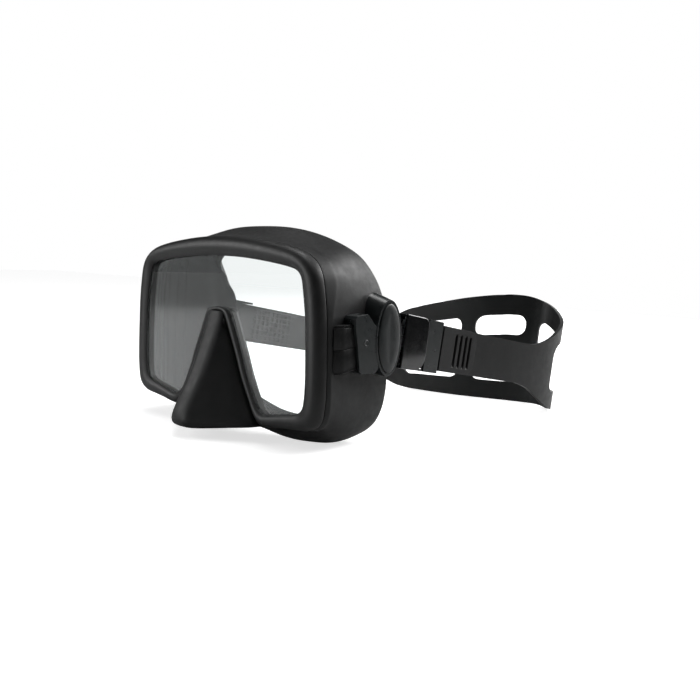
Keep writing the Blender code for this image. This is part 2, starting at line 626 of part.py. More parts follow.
# Heights of the two edges, and the forward lean of the band, along the strap from that middle.
TOP_EDGE = [
    (-112, STRAP_HALF), (-100, 12.8), (-90, 15.0), (-80, 19.2), (-70, 25.0), (-60, 30.5), (-50, 35.5),
    (-40, 41.0), (-30, 45.6), (-20, 48.2), (-10, 48.6), (0, 47.4), (20, 43.5), (40, 38.5), (60, 33.8),
    (75, 29.5), (90, 22.0), (105, 15.0), (120, STRAP_HALF)]
LOW_EDGE = [
    (-112, -STRAP_HALF), (-100, -14.4), (-90, -18.3), (-80, -22.4), (-70, -25.2), (-50, -26.1),
    (-38, -25.0), (-30, -24.7), (-20, -25.4), (0, -27.2), (20, -28.2), (40, -28.9), (60, -28.8),
    (78, -27.6), (90, -23.5), (105, -16.5), (120, -STRAP_HALF)]
LEAN = [(-60, 0.0), (-30, -0.03), (-10, -0.09), (20, -0.14), (60, -0.12), (100, -0.05), (130, 0.0)]
ARM_WIDTH = [(0, 14.0), (30, 13.6), (60, 12.0), (78, 9.0), (100, 4.0), (112, 3.0)]
# Windows: (start, end, the cells that it takes of the three between the two arms).
WINDOWS = [(-73.0, -27.0, (1, 2, 3)), (-17.5, 17.5, (1,)), (-17.5, 17.5, (3,)), (27.0, 73.0, (1, 2, 3))]
SMALL_WINDOW = 14.0
CORNER = 6.0


def curve_value(pairs, position):
    """Smooth curve through (position, value) pairs, flat beyond both ends."""
    places = [pair[0] for pair in pairs]
    values = [pair[1] for pair in pairs]
    position = max(position, places[0])
    for k in range(len(places) - 1):
        if position <= places[k + 1]:
            share = (position - places[k]) / (places[k + 1] - places[k])
            before = values[max(k - 1, 0)]
            after = values[min(k + 2, len(values) - 1)]
            a, b = values[k], values[k + 1]
            return a + 0.5 * share * (b - before + share * (2 * before - 5 * a + 4 * b - after
                                                            + share * (3 * (a - b) + after - before)))
    return values[-1]


def strap_path():
    """Dense plan of the strap from tail to tail, its travel, and where each stretch begins."""
    tail = spline(TAIL_PATH, 24, False)[:-1]
    turn = [(ROLLER_X + WRAP_R * math.cos(a), ROLLER_T - WRAP_R * math.sin(a))
            for a in np.linspace(0, math.pi, 60)[:-1]]
    other = [(-x, t) for x, t in LEAD_PATH[::-1]]
    main = spline(LEAD_PATH + LOOP_PATH + other, 24, False)
    front = np.vstack([tail, turn])
    back = (front * (-1.0, 1.0))[::-1]
    plan = np.vstack([front, main, back])
    steps = np.linalg.norm(np.diff(plan, axis=0), axis=1)
    return plan, np.concatenate([[0.0], np.cumsum(steps)]), len(tail), len(front)


def strap_features(plan, travel, turn_start, turn_end):
    """Stops at which the left side is cut into columns, and its grooves, teeth and ridge, as travel."""
    lead_end = turn_end + 24 * (len(LEAD_PATH) - 1) + 24

    def on_tail(t):
        return np.interp(-t, -plan[:turn_start, 1], travel[:turn_start])

    def on_lead(t):
        return np.interp(t, plan[turn_end:lead_end, 1], travel[turn_end:lead_end])

    grooves = [(on_tail(t + 0.85), on_tail(t - 0.85)) for t in (58.3, 62.7, 67.1, 71.0)]
    ridge = (on_tail(47.6), on_tail(45.4))
    teeth = [(on_tail(t + 1.0), on_tail(t - 1.0)) for t in (20.5, 24.5)]
    teeth += [(on_lead(t - 1.0), on_lead(t + 1.0)) for t in range(50, 86, 4)]
    stops = [0.0, 0.5, 1.6, 3.6, 6.4]
    for low, high in grooves + teeth + [ridge]:
        stops += [low - 0.12, low + 0.12, high - 0.12, high + 0.12]
    turn = travel[turn_end] - travel[turn_start]
    stops += [travel[turn_start] + turn * k / 8 for k in range(9)]
    stops += [on_tail(t) for t in (30.0, 36.0, 53.0)] + [on_lead(t) for t in (24.0, 30.0, 34.0, 38.0, 42.0)]
    return stops, grooves, teeth, ridge


def strap_rows(place, from_tip):
    """Heights of the six rows of a column at this distance from the middle of the pattern."""
    top = curve_value(TOP_EDGE, place)
    low = curve_value(LOW_EDGE, place)
    margin = curve_value(ARM_WIDTH, abs(place))
    if from_tip < 7.0:
        top = STRAP_HALF - 7.0 + math.sqrt(max(49.0 - (7.0 - from_tip) ** 2, 0.0))
        low = -top
        margin = 3.0 * top / STRAP_HALF
    rows = [low, low + margin, 0.0, 0.0, top - margin, top]
    even = (rows[4] - rows[1]) / 3
    part = even + (SMALL_WINDOW - even) * float(smooth_step(-abs(place), -60.0, -25.0))
    rows[2] = rows[1] + part
    rows[3] = rows[4] - part
    for start, end, cells in WINDOWS:
        depth = min(place - start, end - place)
        if -0.01 <= depth < CORNER:
            inset = CORNER - math.sqrt(max(CORNER ** 2 - (CORNER - max(depth, 0.0)) ** 2, 0.0))
            rows[cells[0]] += inset
            rows[cells[-1] + 1] -= inset
    return rows


def build_strap(frame):
    """Rubber strap from tail to tail, with two tall and two small windows in its wide back."""
    plan, travel, turn_start, turn_end = strap_path()
    length = travel[-1]
    middle_at = travel[turn_end] + PATTERN_AT
    stops, grooves, teeth, ridge = strap_features(plan, travel, turn_start, turn_end)
    marks = {round(stop, 3) for stop in stops} | {round(length - stop, 3) for stop in stops}
    for start, end, cells in WINDOWS:
        for step in (0.0, 0.4, 1.4, 3.2, 6.0):
            marks.add(round(middle_at + start + step, 3))
            marks.add(round(middle_at + end - step, 3))
    taken = sorted(marks)
    for travelled in np.arange(travel[turn_end] + 70.0, length - travel[turn_end] - 70.0, 5.0):
        if min(abs(travelled - mark) for mark in taken) > 2.2:
            marks.add(round(float(travelled), 3))
    marks = sorted(marks)

    def raised(away):
        """Extra thickness of the edge rows and of the middle rows on the ribbed face."""
        edge = middle = 0.8 if away <= ridge[1] else 0.0
        if ridge[0] <= away <= ridge[1]:
            edge = middle = 1.5
        if any(low <= away <= high for low, high in grooves):
            middle = -0.5
        if any(low <= away <= high for low, high in teeth):
            middle = 0.6
        return edge, middle

    points = []
    for travelled in marks:
        x = np.interp(travelled, travel, plan[:, 0])
        t = np.interp(travelled, travel, plan[:, 1])
        ahead = min(travelled + 0.4, length)
        behind = max(travelled - 0.4, 0.0)
        step = np.array([np.interp(ahead, travel, plan[:, 0]) - np.interp(behind, travel, plan[:, 0]),
                         np.interp(ahead, travel, plan[:, 1]) - np.interp(behind, travel, plan[:, 1])])
        step /= np.linalg.norm(step)
        out = np.array([step[1], -step[0]])
        lean = curve_value(LEAN, travelled - middle_at)
        from_tip = min(travelled, length - travelled)
        rows = strap_rows(travelled - middle_at, from_tip)
        floor = (math.sin(STRAP_TILT) * (t + 1.1 * out[1]) - SWIVEL_Z) / (
            math.cos(STRAP_TILT) - math.sin(STRAP_TILT) * out[1] * lean)
        rows[0] = max(rows[0], floor)
        edge, middle = raised(from_tip)
        for face in (0, 1):
            for k, height in enumerate(rows):
                extra = middle if k in (2, 3) else edge
                shift = STRAP_THICK / 2 if face == 0 else -STRAP_THICK / 2 - extra
                moved = np.array([x, t]) + out * (shift + lean * height)
                points.append((moved[0], moved[1], height))

    def solid_cell(i, k):
        middle = (marks[i] + marks[i + 1]) / 2 - middle_at
        return not any(k in cells and start < middle < end for start, end, cells in WINDOWS)

    last = len(marks) - 1
    faces = []
    for i in range(last):
        for k in range(5):
            if not solid_cell(i, k):
                continue
            a, b = i * 12 + k, (i + 1) * 12 + k
            faces.append((a, b, b + 1, a + 1))
            faces.append((a + 6, a + 7, b + 7, b + 6))
            if k == 0 or not solid_cell(i, k - 1):
                faces.append((a, a + 6, b + 6, b))
            if k == 4 or not solid_cell(i, k + 1):
                faces.append((a + 1, b + 1, b + 7, a + 7))
            if i == 0 or not solid_cell(i - 1, k):
                faces.append((a, a + 1, a + 7, a + 6))
            if i == last - 1 or not solid_cell(i + 1, k):
                faces.append((b, b + 6, b + 7, b + 1))
    used = sorted({index for face in faces for index in face})
    renumber = {old: new for new, old in enumerate(used)}
    faces = [tuple(renumber[index] for index in face) for face in faces]
    add_solid("strap", [points[index] for index in used], faces, RUBBER_STRAP, 0.55, parent=frame, smooth=30.0)


clear_scene()
build_lens()
build_rim()
build_skirt()
build_nose_pocket()
swing = add_frame("strap_frame", SWIVEL_Y, SWIVEL_Z, STRAP_TILT)
for tag in ("L", "R"):
    build_side_tab(tag)
    build_anchor_pin(tag)
    build_buckle_base(tag)
    build_swivel_pin(tag)
    build_release_button(tag)
    build_button_spring(tag)
    build_buckle_body(tag, swing)
    build_buckle_cover(tag, swing)
    build_roller(tag, swing)
    build_roller_pin(tag, swing)
    build_pawl(tag, swing)
    build_pawl_pin(tag, swing)
build_strap(swing)
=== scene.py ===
import json
import math

import bmesh
import bpy
import numpy as np
from mathutils import Matrix, Vector


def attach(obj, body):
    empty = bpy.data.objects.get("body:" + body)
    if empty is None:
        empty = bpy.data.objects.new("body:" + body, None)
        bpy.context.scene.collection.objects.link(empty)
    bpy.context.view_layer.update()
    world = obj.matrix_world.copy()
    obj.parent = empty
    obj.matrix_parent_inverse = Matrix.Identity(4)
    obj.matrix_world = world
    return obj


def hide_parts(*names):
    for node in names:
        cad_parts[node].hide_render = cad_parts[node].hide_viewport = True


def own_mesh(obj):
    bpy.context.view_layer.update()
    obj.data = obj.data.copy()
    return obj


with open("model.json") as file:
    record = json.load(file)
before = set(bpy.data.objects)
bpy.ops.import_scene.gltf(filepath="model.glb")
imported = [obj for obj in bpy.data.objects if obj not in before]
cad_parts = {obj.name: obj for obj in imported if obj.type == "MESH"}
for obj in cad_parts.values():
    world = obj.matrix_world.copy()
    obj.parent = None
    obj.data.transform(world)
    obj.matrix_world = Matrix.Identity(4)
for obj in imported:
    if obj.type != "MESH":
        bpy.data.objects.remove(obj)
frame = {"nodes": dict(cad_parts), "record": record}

# The assembly is drawn in millimetres: x across, y back from the glass, z up from the floor.
MM = 0.001
DEPTH_SHIFT = 104.1          # from the glass to the middle of the whole assembly
SWIVEL = (39.3, 57.0)        # y and z of the axis that the strap swings on
STRAP_TILT = math.radians(9.7)
RIM_BACK = 7.6               # depth of the rim's rear face
LAP_FROM = 4.1               # depth at which the skirt's front edge starts to lap over the rim
SKIRT_WALL = 2.3
POCKET_WALL = 2.2
GLASS_LIP = 2.4              # width of glass that the rim covers
GLASS_THICK = 3.8
RIM_GROOVE = 2.75            # width of the rim's seat for the glass
GLASS_SEAT = 4.1             # depth of the floor of that seat

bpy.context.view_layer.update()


# ---------------------------------------------------------------- curves

def spline(points, per_span, closed):
    """Catmull-Rom curve through the points, with per_span samples for each span."""
    points = np.asarray(points, float)
    count = len(points)
    spans = count if closed else count - 1
    out = []
    for i in range(spans):
        if closed:
            before, start, end, after = (points[(i + k) % count] for k in (-1, 0, 1, 2))
        else:
            before = points[max(i - 1, 0)]
            start = points[i]
            end = points[i + 1]
            after = points[min(i + 2, count - 1)]
        for step in range(per_span):
            u = step / per_span
            out.append(0.5 * (2 * start + (end - before) * u
                              + (2 * before - 5 * start + 4 * end - after) * u * u
                              + (3 * start - before - 3 * end + after) * u ** 3))
    if not closed:
        out.append(points[-1])
    return np.array(out)


def mirrored(half):
    """Closes a half outline that starts and ends on x = 0 with its mirror image."""
    half = np.asarray(half, float)
    other = half[1:-1][::-1].copy()
    other[:, 0] *= -1
    return np.vstack([half, other])


def inward(outline):
    """Unit vectors in the XZ plane that point into a closed outline."""
    ahead = np.roll(outline, -1, axis=0) - np.roll(outline, 1, axis=0)
    normal = np.stack([-ahead[:, 1], ahead[:, 0]], axis=1)
    normal /= np.linalg.norm(normal, axis=1)[:, None]
    if ((outline.mean(axis=0) - outline) * normal).sum() < 0:
        normal = -normal
    return normal


def ring_faces(rings, sides):
    """Quads of a closed tube: rings around it, sides around each ring."""
    return [(i * sides + j, i * sides + (j + 1) % sides,
             ((i + 1) % rings) * sides + (j + 1) % sides, ((i + 1) % rings) * sides + j)
            for i in range(rings) for j in range(sides)]


def capped_tube(rings, sides, base=0):
    """Faces of an open tube with both ends closed, its first point numbered base."""
    last = base + (rings - 1) * sides
    faces = [tuple(range(base, base + sides)), tuple(range(last, last + sides))]
    for i in range(rings - 1):
        a = base + i * sides
        faces += [(a + k, a + (k + 1) % sides, a + sides + (k + 1) % sides, a + sides + k)
                  for k in range(sides)]
    return faces


def oval_ring(x, centre, half_y, half_z, count):
    """Points of an oval in the plane at x, round centre (y, z)."""
    turns = [2 * math.pi * k / count for k in range(count)]
    return [(x, centre[0] + half_y * math.cos(turn), centre[1] + half_z * math.sin(turn)) for turn in turns]


def curve_value(pairs, position):
    """Smooth curve through (position, value) pairs, flat beyond both ends."""
    places = [pair[0] for pair in pairs]
    values = [pair[1] for pair in pairs]
    position = max(position, places[0])
    for k in range(len(places) - 1):
        if position <= places[k + 1]:
            share = (position - places[k]) / (places[k + 1] - places[k])
            before = values[max(k - 1, 0)]
            after = values[min(k + 2, len(values) - 1)]
            a, b = values[k], values[k + 1]
            return a + 0.5 * share * (b - before + share * (2 * before - 5 * a + 4 * b - after
                                                            + share * (3 * (a - b) + after - before)))
    return values[-1]


def smooth_step(value, low, high):
    share = min(max((value - low) / (high - low), 0.0), 1.0)
    return share * share * (3 - 2 * share)


def strap_to_mask(points):
    """Points of the strap's tilted frame (x, t, n) as mask points (x, y, z)."""
    points = np.asarray(points, float)
    cos, sin = math.cos(STRAP_TILT), math.sin(STRAP_TILT)
    return np.stack([points[:, 0], SWIVEL[0] + points[:, 1] * cos + points[:, 2] * sin,
                     SWIVEL[1] - points[:, 1] * sin + points[:, 2] * cos], axis=1)


# ---------------------------------------------------------------- materials

class Nodes:
    """A new material with a Principled shader, and short ways to add the nodes that vary it."""

    def __init__(self, name, roughness, metallic=0.0, specular=0.5):
        self.material = bpy.data.materials.new(name)
        self.material.use_nodes = True
        self.tree = self.material.node_tree
        self.shader = self.tree.nodes["Principled BSDF"]
        self.shader.inputs["Roughness"].default_value = roughness
        self.shader.inputs["Metallic"].default_value = metallic
        self.shader.inputs["Specular IOR Level"].default_value = specular
        self.place = self.tree.nodes.new("ShaderNodeTexCoord").outputs["Object"]

    def noise(self, scale, detail=3.0, rough=0.55, stretch=None):
        place = self.place
        if stretch:
            mapping = self.tree.nodes.new("ShaderNodeMapping")
            mapping.inputs["Scale"].default_value = stretch
            self.tree.links.new(place, mapping.inputs["Vector"])
            place = mapping.outputs["Vector"]
        node = self.tree.nodes.new("ShaderNodeTexNoise")
        node.inputs["Scale"].default_value = scale
        node.inputs["Detail"].default_value = detail
        node.inputs["Roughness"].default_value = rough
        self.tree.links.new(place, node.inputs["Vector"])
        return node.outputs["Fac"]

    def cells(self, scale):
        node = self.tree.nodes.new("ShaderNodeTexVoronoi")
        node.inputs["Scale"].default_value = scale
        self.tree.links.new(self.place, node.inputs["Vector"])
        return node.outputs["Distance"]

    def ramp(self, value, stops):
        node = self.tree.nodes.new("ShaderNodeValToRGB")
        ramp = node.color_ramp
        while len(ramp.elements) < len(stops):
            ramp.elements.new(0.5)
        for element, (position, colour) in zip(ramp.elements, stops):
            element.position = position
            element.color = (*colour, 1.0) if isinstance(colour, tuple) else (colour, colour, colour, 1.0)
        self.tree.links.new(value, node.inputs["Fac"])
        return node.outputs["Color"]

    def blend(self, share, first, second, mode="MIX"):
        node = self.tree.nodes.new("ShaderNodeMix")
        node.data_type = "RGBA"
        node.blend_type = mode
        for socket, value in ((node.inputs[0], share), (node.inputs[6], first), (node.inputs[7], second)):
            if isinstance(value, bpy.types.NodeSocket):
                self.tree.links.new(value, socket)
            elif isinstance(value, tuple):
                socket.default_value = (*value, 1.0)
            else:
                socket.default_value = value
        return node.outputs[2]

    def range(self, value, low, high, low_in=0.3, high_in=0.7):
        node = self.tree.nodes.new("ShaderNodeMapRange")
        node.inputs["From Min"].default_value = low_in
        node.inputs["From Max"].default_value = high_in
        node.inputs["To Min"].default_value = low
        node.inputs["To Max"].default_value = high
        self.tree.links.new(value, node.inputs["Value"])
        return node.outputs["Result"]

    def seen_directly(self):
        """1 for rays from the camera, through glass too, and 0 for light that bounces."""
        rays = self.tree.nodes.new("ShaderNodeLightPath")
        node = self.tree.nodes.new("ShaderNodeMath")
        node.operation = "MAXIMUM"
        self.tree.links.new(rays.outputs["Is Camera Ray"], node.inputs[0])
        self.tree.links.new(rays.outputs["Is Transmission Ray"], node.inputs[1])
        return node.outputs["Value"]

    def put(self, socket, value):
        self.tree.links.new(value, self.shader.inputs[socket])

    def bump(self, *layers):
        """Stacks bump layers, each (height output, strength, depth in metres)."""
        normal = None
        for height, strength, depth in layers:
            node = self.tree.nodes.new("ShaderNodeBump")
            node.inputs["Strength"].default_value = strength
            node.inputs["Distance"].default_value = depth
            self.tree.links.new(height, node.inputs["Height"])
            if normal is not None:
                self.tree.links.new(normal, node.inputs["Normal"])
            normal = node.outputs["Normal"]
        self.put("Normal", normal)


def make_rubber(name, dark, light, roughness, dust):
    """Moulded silicone: cloudy tone, a fine matte skin, and a little pale dust."""
    made = Nodes(name, roughness, specular=0.25)
    cloud = made.noise(38.0, 4.0, 0.6)
    base = made.ramp(cloud, [(0.30, dark), (0.72, light)])
    specks = made.ramp(made.noise(2600.0, 2.0, 0.5), [(0.66, 0.0), (0.74, 1.0)])
    patches = made.ramp(made.noise(60.0, 2.0, 0.5), [(0.45, 0.0), (0.65, 1.0)])
    share = made.blend(1.0, specks, patches, "MULTIPLY")
    pale = tuple(value + dust for value in light)
    made.put("Base Color", made.blend(share, base, pale))
    made.put("Roughness", made.range(made.noise(220.0, 4.0, 0.6), roughness - 0.07, roughness + 0.08))
    made.bump((made.noise(5200.0, 2.0, 0.6), 0.22, 0.00004), (made.noise(420.0, 3.0, 0.5), 0.10, 0.00012),
              (made.noise(60.0, 2.0, 0.5), 0.10, 0.0006))
    made.shader.inputs["Sheen Weight"].default_value = 0.015
    made.shader.inputs["Sheen Roughness"].default_value = 0.5
    return made.material


def make_plastic(name, dark, light, roughness, grain, specular=0.5, coat=0.0):
    """Moulded plastic: faint flow clouds, spark-eroded grain, hairline rubbing marks."""
    made = Nodes(name, roughness, specular=specular)
    cloud = made.noise(70.0, 3.0, 0.5)
    base = made.ramp(cloud, [(0.32, dark), (0.70, light)])
    rubbed = made.ramp(made.noise(260.0, 5.0, 0.7, (1.0, 7.0, 1.0)), [(0.60, 0.0), (0.72, 1.0)])
    share = made.blend(1.0, rubbed, (0.35, 0.35, 0.35), "MULTIPLY")
    made.put("Base Color", made.blend(share, base, tuple(value * 1.5 + 0.004 for value in light)))
    made.put("Roughness", made.range(made.noise(300.0, 4.0, 0.65), roughness - 0.04, roughness + 0.06))
    made.bump((made.cells(2900.0), grain, 0.00003), (made.noise(90.0, 2.0, 0.5), 0.06, 0.0004))
    made.shader.inputs["Coat Weight"].default_value = coat
    made.shader.inputs["Coat Roughness"].default_value = 0.06
    return made.material


def make_steel(name):
    """Drawn stainless steel: fine lines along the pieces and slight toning."""
    made = Nodes(name, 0.28, metallic=1.0)
    lines = made.noise(900.0, 3.0, 0.6, (9.0, 9.0, 0.6))
    made.put("Base Color", made.ramp(lines, [(0.3, (0.42, 0.43, 0.44)), (0.7, (0.66, 0.67, 0.68))]))
    made.put("Roughness", made.range(made.noise(500.0, 3.0, 0.6), 0.20, 0.40))
    made.bump((lines, 0.15, 0.00003))
    return made.material


def make_glass(name):
    """Tempered glass that lets lamps through, with a faint smeared film on it."""
    made = Nodes(name, 0.015)
    shader = made.shader
    shader.inputs["Base Color"].default_value = (0.93, 0.965, 0.96, 1.0)
    shader.inputs["Transmission Weight"].default_value = 1.0
    shader.inputs["IOR"].default_value = 1.5
    made.put("Roughness", made.range(made.noise(35.0, 4.0, 0.6, (1.0, 1.0, 3.0)), 0.0, 0.05, 0.45, 0.75))
    clear = made.tree.nodes.new("ShaderNodeBsdfTransparent")
    clear.inputs["Color"].default_value = (0.90, 0.94, 0.935, 1.0)
    rays = made.tree.nodes.new("ShaderNodeLightPath")
    mix = made.tree.nodes.new("ShaderNodeMixShader")
    made.tree.links.new(rays.outputs["Is Shadow Ray"], mix.inputs["Fac"])
    made.tree.links.new(shader.outputs["BSDF"], mix.inputs[1])
    made.tree.links.new(clear.outputs["BSDF"], mix.inputs[2])
    made.tree.links.new(mix.outputs["Shader"], made.tree.nodes["Material Output"].inputs["Surface"])
    return made.material


SKIRT_RUBBER = make_rubber("skirt_silicone", (0.0065, 0.0068, 0.007), (0.0105, 0.0108, 0.011), 0.47, 0.03)
STRAP_RUBBER = make_rubber("strap_silicone", (0.0070, 0.0073, 0.0075), (0.0115, 0.0118, 0.012), 0.42, 0.03)
RIM_PLASTIC = make_plastic("rim_plastic_finish", (0.0055, 0.0057, 0.0058), (0.0085, 0.0088, 0.009),
                           0.44, 0.10, specular=0.36)
BUCKLE_PLASTIC = make_plastic("buckle_plastic_finish", (0.0065, 0.0085, 0.0090), (0.0105, 0.0135, 0.0140),
                              0.30, 0.06)
BUTTON_PLASTIC = make_plastic("button_plastic_finish", (0.0080, 0.0100, 0.0105), (0.0120, 0.0150, 0.0155),
                              0.34, 0.08)
COVER_PLASTIC = make_plastic("cover_gloss_finish", (0.0030, 0.0033, 0.0036), (0.0045, 0.0050, 0.0054),
                             0.12, 0.0, coat=0.6)
STEEL = make_steel("steel_finish")
GLASS = make_glass("window_glass_finish")


# ---------------------------------------------------------------- piece helpers

BODY_OF = {node: body for body, nodes in frame["record"]["behaviour"]["bodies"].items() for node in nodes}


def finish_piece(obj, material, body, slot, replaced=(), bevel=0.0, segments=3, bevel_angle=32.0, sub=0):
    """Gives a mesh its material, smooth shading, softened edges and its body, and hides the CAD nodes it
    stands for; slot is not used.
    """
    obj.data.materials.clear()
    obj.data.materials.append(material)
    for polygon in obj.data.polygons:
        polygon.material_index = 0
    obj.data.shade_smooth()
    if bevel:
        modifier = obj.modifiers.new("edges", "BEVEL")
        modifier.width = bevel * MM
        modifier.segments = segments
        modifier.limit_method = "ANGLE"
        modifier.angle_limit = math.radians(bevel_angle)
        modifier.miter_outer = "MITER_ARC"
        modifier = obj.modifiers.new("shading", "WEIGHTED_NORMAL")
        modifier.keep_sharp = True
    if sub:
        modifier = obj.modifiers.new("surface", "SUBSURF")
        modifier.levels = sub
        modifier.render_levels = sub
    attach(obj, body)
    if replaced:
        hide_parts(*replaced)
    return obj


def new_object(name, points, faces):
    """A mesh object from points in millimetres, its faces turned outward."""
    points = np.asarray(points, float) * MM - np.array([0.0, DEPTH_SHIFT * MM, 0.0])
    mesh = bpy.data.meshes.new(name)
    mesh.from_pydata([tuple(point) for point in points], [], [tuple(int(k) for k in face) for face in faces])
    mesh.validate()
    work = bmesh.new()
    work.from_mesh(mesh)
    bmesh.ops.recalc_face_normals(work, faces=work.faces)
    if work.calc_volume(signed=True) < 0:
        bmesh.ops.reverse_faces(work, faces=work.faces)
    work.to_mesh(mesh)
    work.free()
    obj = bpy.data.objects.new(name, mesh)
    bpy.context.scene.collection.objects.link(obj)
    return obj


def crease_edges(obj, crease_of):
    """Creases every edge by crease_of(vertex a, vertex b)."""
    layer = obj.data.attributes.new("crease_edge", "FLOAT", "EDGE")
    for edge in obj.data.edges:
        layer.data[edge.index].value = crease_of(*edge.vertices)


def welded_copy(node, name):
    """A clean copy of a CAD node's surface: shared corners, and flat areas joined into single faces."""
    work = bmesh.new()
    work.from_mesh(frame["nodes"][node].data)
    bmesh.ops.remove_doubles(work, verts=work.verts, dist=2e-6)
    bmesh.ops.dissolve_limit(work, angle_limit=math.radians(0.5), verts=work.verts, edges=work.edges)
    mesh = bpy.data.meshes.new(name)
    work.to_mesh(mesh)
    work.free()
    obj = bpy.data.objects.new(name, mesh)
    bpy.context.scene.collection.objects.link(obj)
    return obj


# ---------------------------------------------------------------- window, rim

# Right half of the visible glass and of the rim's outer edge, matched point by point (x, z).
GLASS_HALF = [
    (0, 94.6), (17.8, 94.3), (34.2, 93.2), (49.7, 91.6), (58.5, 90.3), (63.3, 88.9), (66.3, 85.8),
    (67.8, 79.9), (69.7, 67.3), (70.5, 54), (71, 38), (70.6, 28.5), (69.4, 23), (66, 20.1),
    (60, 18.7), (52.6, 17.4), (45, 16), (39.5, 15.4), (34.8, 18), (31, 22.6), (24.8, 33.8),
    (20.2, 44.2), (15.2, 54.6), (11.3, 62.6), (8.0, 66.5), (0, 67.6)]
RIM_HALF = [
    (0, 105.3), (19, 104.7), (36, 103.2), (52, 101), (63.5, 98.4), (71, 94.5), (75.8, 88.8),
    (78.2, 81), (80, 68), (80.8, 54), (81.2, 38), (80.8, 25), (78.5, 16.5), (72, 12.2),
    (62, 11), (52, 10), (43, 8.8), (36.5, 9.2), (31.5, 13.5), (27.3, 20.2), (20.2, 32.5),
    (15.8, 42.4), (10.8, 52.4), (6.6, 60.6), (4.2, 63.6), (0, 65.0)]

# Rim section: (share of the way from the glass edge to the outer edge, depth).  The last part of
# the side is stepped in, because the skirt's front edge laps over it.
RIM_SECTION = [
    (0.0, -0.15), (0.0, -0.7), (0.02, -0.95), (0.08, -1.35), (0.15, -1.85), (0.24, -2.25),
    (0.34, -2.5), (0.44, -2.55), (0.55, -2.4), (0.66, -2.0), (0.77, -1.35), (0.86, -0.5), (0.925, 0.5),
    (0.965, 1.5), (0.985, 2.5), (0.99, 3.5), (0.985, 3.85), (0.965, LAP_FROM), (0.90, LAP_FROM + 0.05),
    (0.90, 7.45), (0.88, RIM_BACK), (0.55, RIM_BACK), (0.06, RIM_BACK), (0.06, GLASS_SEAT)]


def outlines(per_span):
    return spline(mirrored(GLASS_HALF), per_span, True), spline(mirrored(RIM_HALF), per_span, True)


def make_window():
    """Flat glass with a ground edge, cut round the nose."""
    glass, rim = outlines(4)
    width = np.linalg.norm(rim - glass, axis=1)
    out = (rim - glass) / width[:, None]
    edge = glass + out * np.minimum(GLASS_LIP, 0.45 * width)[:, None]
    inner = edge - out * 0.35
    layers = [(inner, 0.0), (edge, 0.35), (edge, GLASS_THICK - 0.35), (inner, GLASS_THICK)]
    points = [(x, y, z) for ring, y in layers for x, z in ring]
    obj = new_object("window_glass", points, capped_tube(len(layers), len(edge)))
    finish_piece(obj, GLASS, "mask", "window_glass", ("lens",))
    obj.data.set_sharp_from_angle(angle=math.radians(20.0))


def make_rim():
    """Convex plastic frame with a seat for the glass; its crown is lower where the rim is narrow."""
    glass, rim = outlines(5)
    points = []
    for inner, outer in zip(glass, rim):
        width = np.linalg.norm(outer - inner)
        groove = min(RIM_GROOVE / width, 0.6)
        crown = 0.4 + 0.6 * smooth_step(width, 2.5, 8.5)
        for share, depth in RIM_SECTION + [(groove, GLASS_SEAT), (groove, -0.15)]:
            x, z = inner + (outer - inner) * share
            points.append((x, depth * crown if depth < -0.2 else depth, z))
    obj = new_object("rim_frame", points, ring_faces(len(glass), len(RIM_SECTION) + 2))
    finish_piece(obj, RIM_PLASTIC, "mask", "rim_plastic", ("front_rim",))
    obj.data.set_sharp_from_angle(angle=math.radians(42.0))


# ---------------------------------------------------------------- skirt and nose pocket

# Outlines of the right half of the skirt's outside, from the top to the bottom: the front one (x, z),
# the others (x, y, z).
SKIRT_FRONT = [
    (0, 104.9), (19, 104.3), (36, 102.8), (52, 100.6), (63.3, 98), (70.7, 94.2), (75.4, 88.6),
    (77.8, 80.9), (79.6, 68), (80.4, 54), (80.8, 38), (80.4, 25), (78.1, 16.8), (72, 12.6),
    (62, 11.4), (52, 10.4), (43, 9.0), (33, 7.4), (22, 6.2), (10, 5.5), (0, 5.3)]
SKIRT_WAIST = [
    (0, 15, 107.2), (19.5, 15, 106.5), (37, 15, 104.7), (53, 15, 102), (64.3, 15, 98.8), (71, 15.5, 94),
    (75.2, 16, 88), (77.4, 16, 80.5), (78.9, 16, 68), (79.2, 16, 54), (79.3, 16, 38.5), (79.2, 16, 25),
    (77.6, 15.5, 14.8), (72, 15, 7.6), (63, 14.5, 4.2), (53, 14, 2.2), (43, 13.5, 1.2), (33, 13, 1.6),
    (22, 12.5, 3.2), (10, 12.2, 4.2), (0, 12, 4.6)]
SKIRT_BELLY = [
    (0, 24, 110.8), (20, 24, 110.2), (37.5, 25, 107.7), (53, 26, 103.9), (64, 28, 99.4), (69.8, 30, 93.3),
    (73.6, 31, 86.5), (75.6, 32, 79), (77, 33, 67.5), (77.4, 33.5, 54), (77.7, 33, 39.5), (77.6, 32, 26),
    (76.2, 30, 13.8), (71.2, 28, 5), (62.5, 26, 1.0), (53, 24, 0.1), (42.5, 21, 0.2), (32, 19, 1.4),
    (21, 17.5, 4), (10, 16.5, 6.2), (0, 16, 6.8)]
SKIRT_REAR = [
    (0, 32, 111.8), (20, 32.5, 111.2), (37, 35, 108.5), (51.5, 38.5, 103.6), (61.5, 43, 97.5),
    (67, 46.5, 90), (70.8, 49, 82), (73, 51, 73), (74.6, 52.5, 64), (75, 53, 54), (75, 52.5, 42),
    (74.7, 53, 30), (73.4, 51.5, 17.5), (69.6, 48, 8), (61.5, 42, 2.3), (52, 35, 0.9), (41.5, 29.3, 1.3),
    (30, 25, 3), (20, 22.5, 6), (10, 21, 9), (0, 20.5, 9.8)]
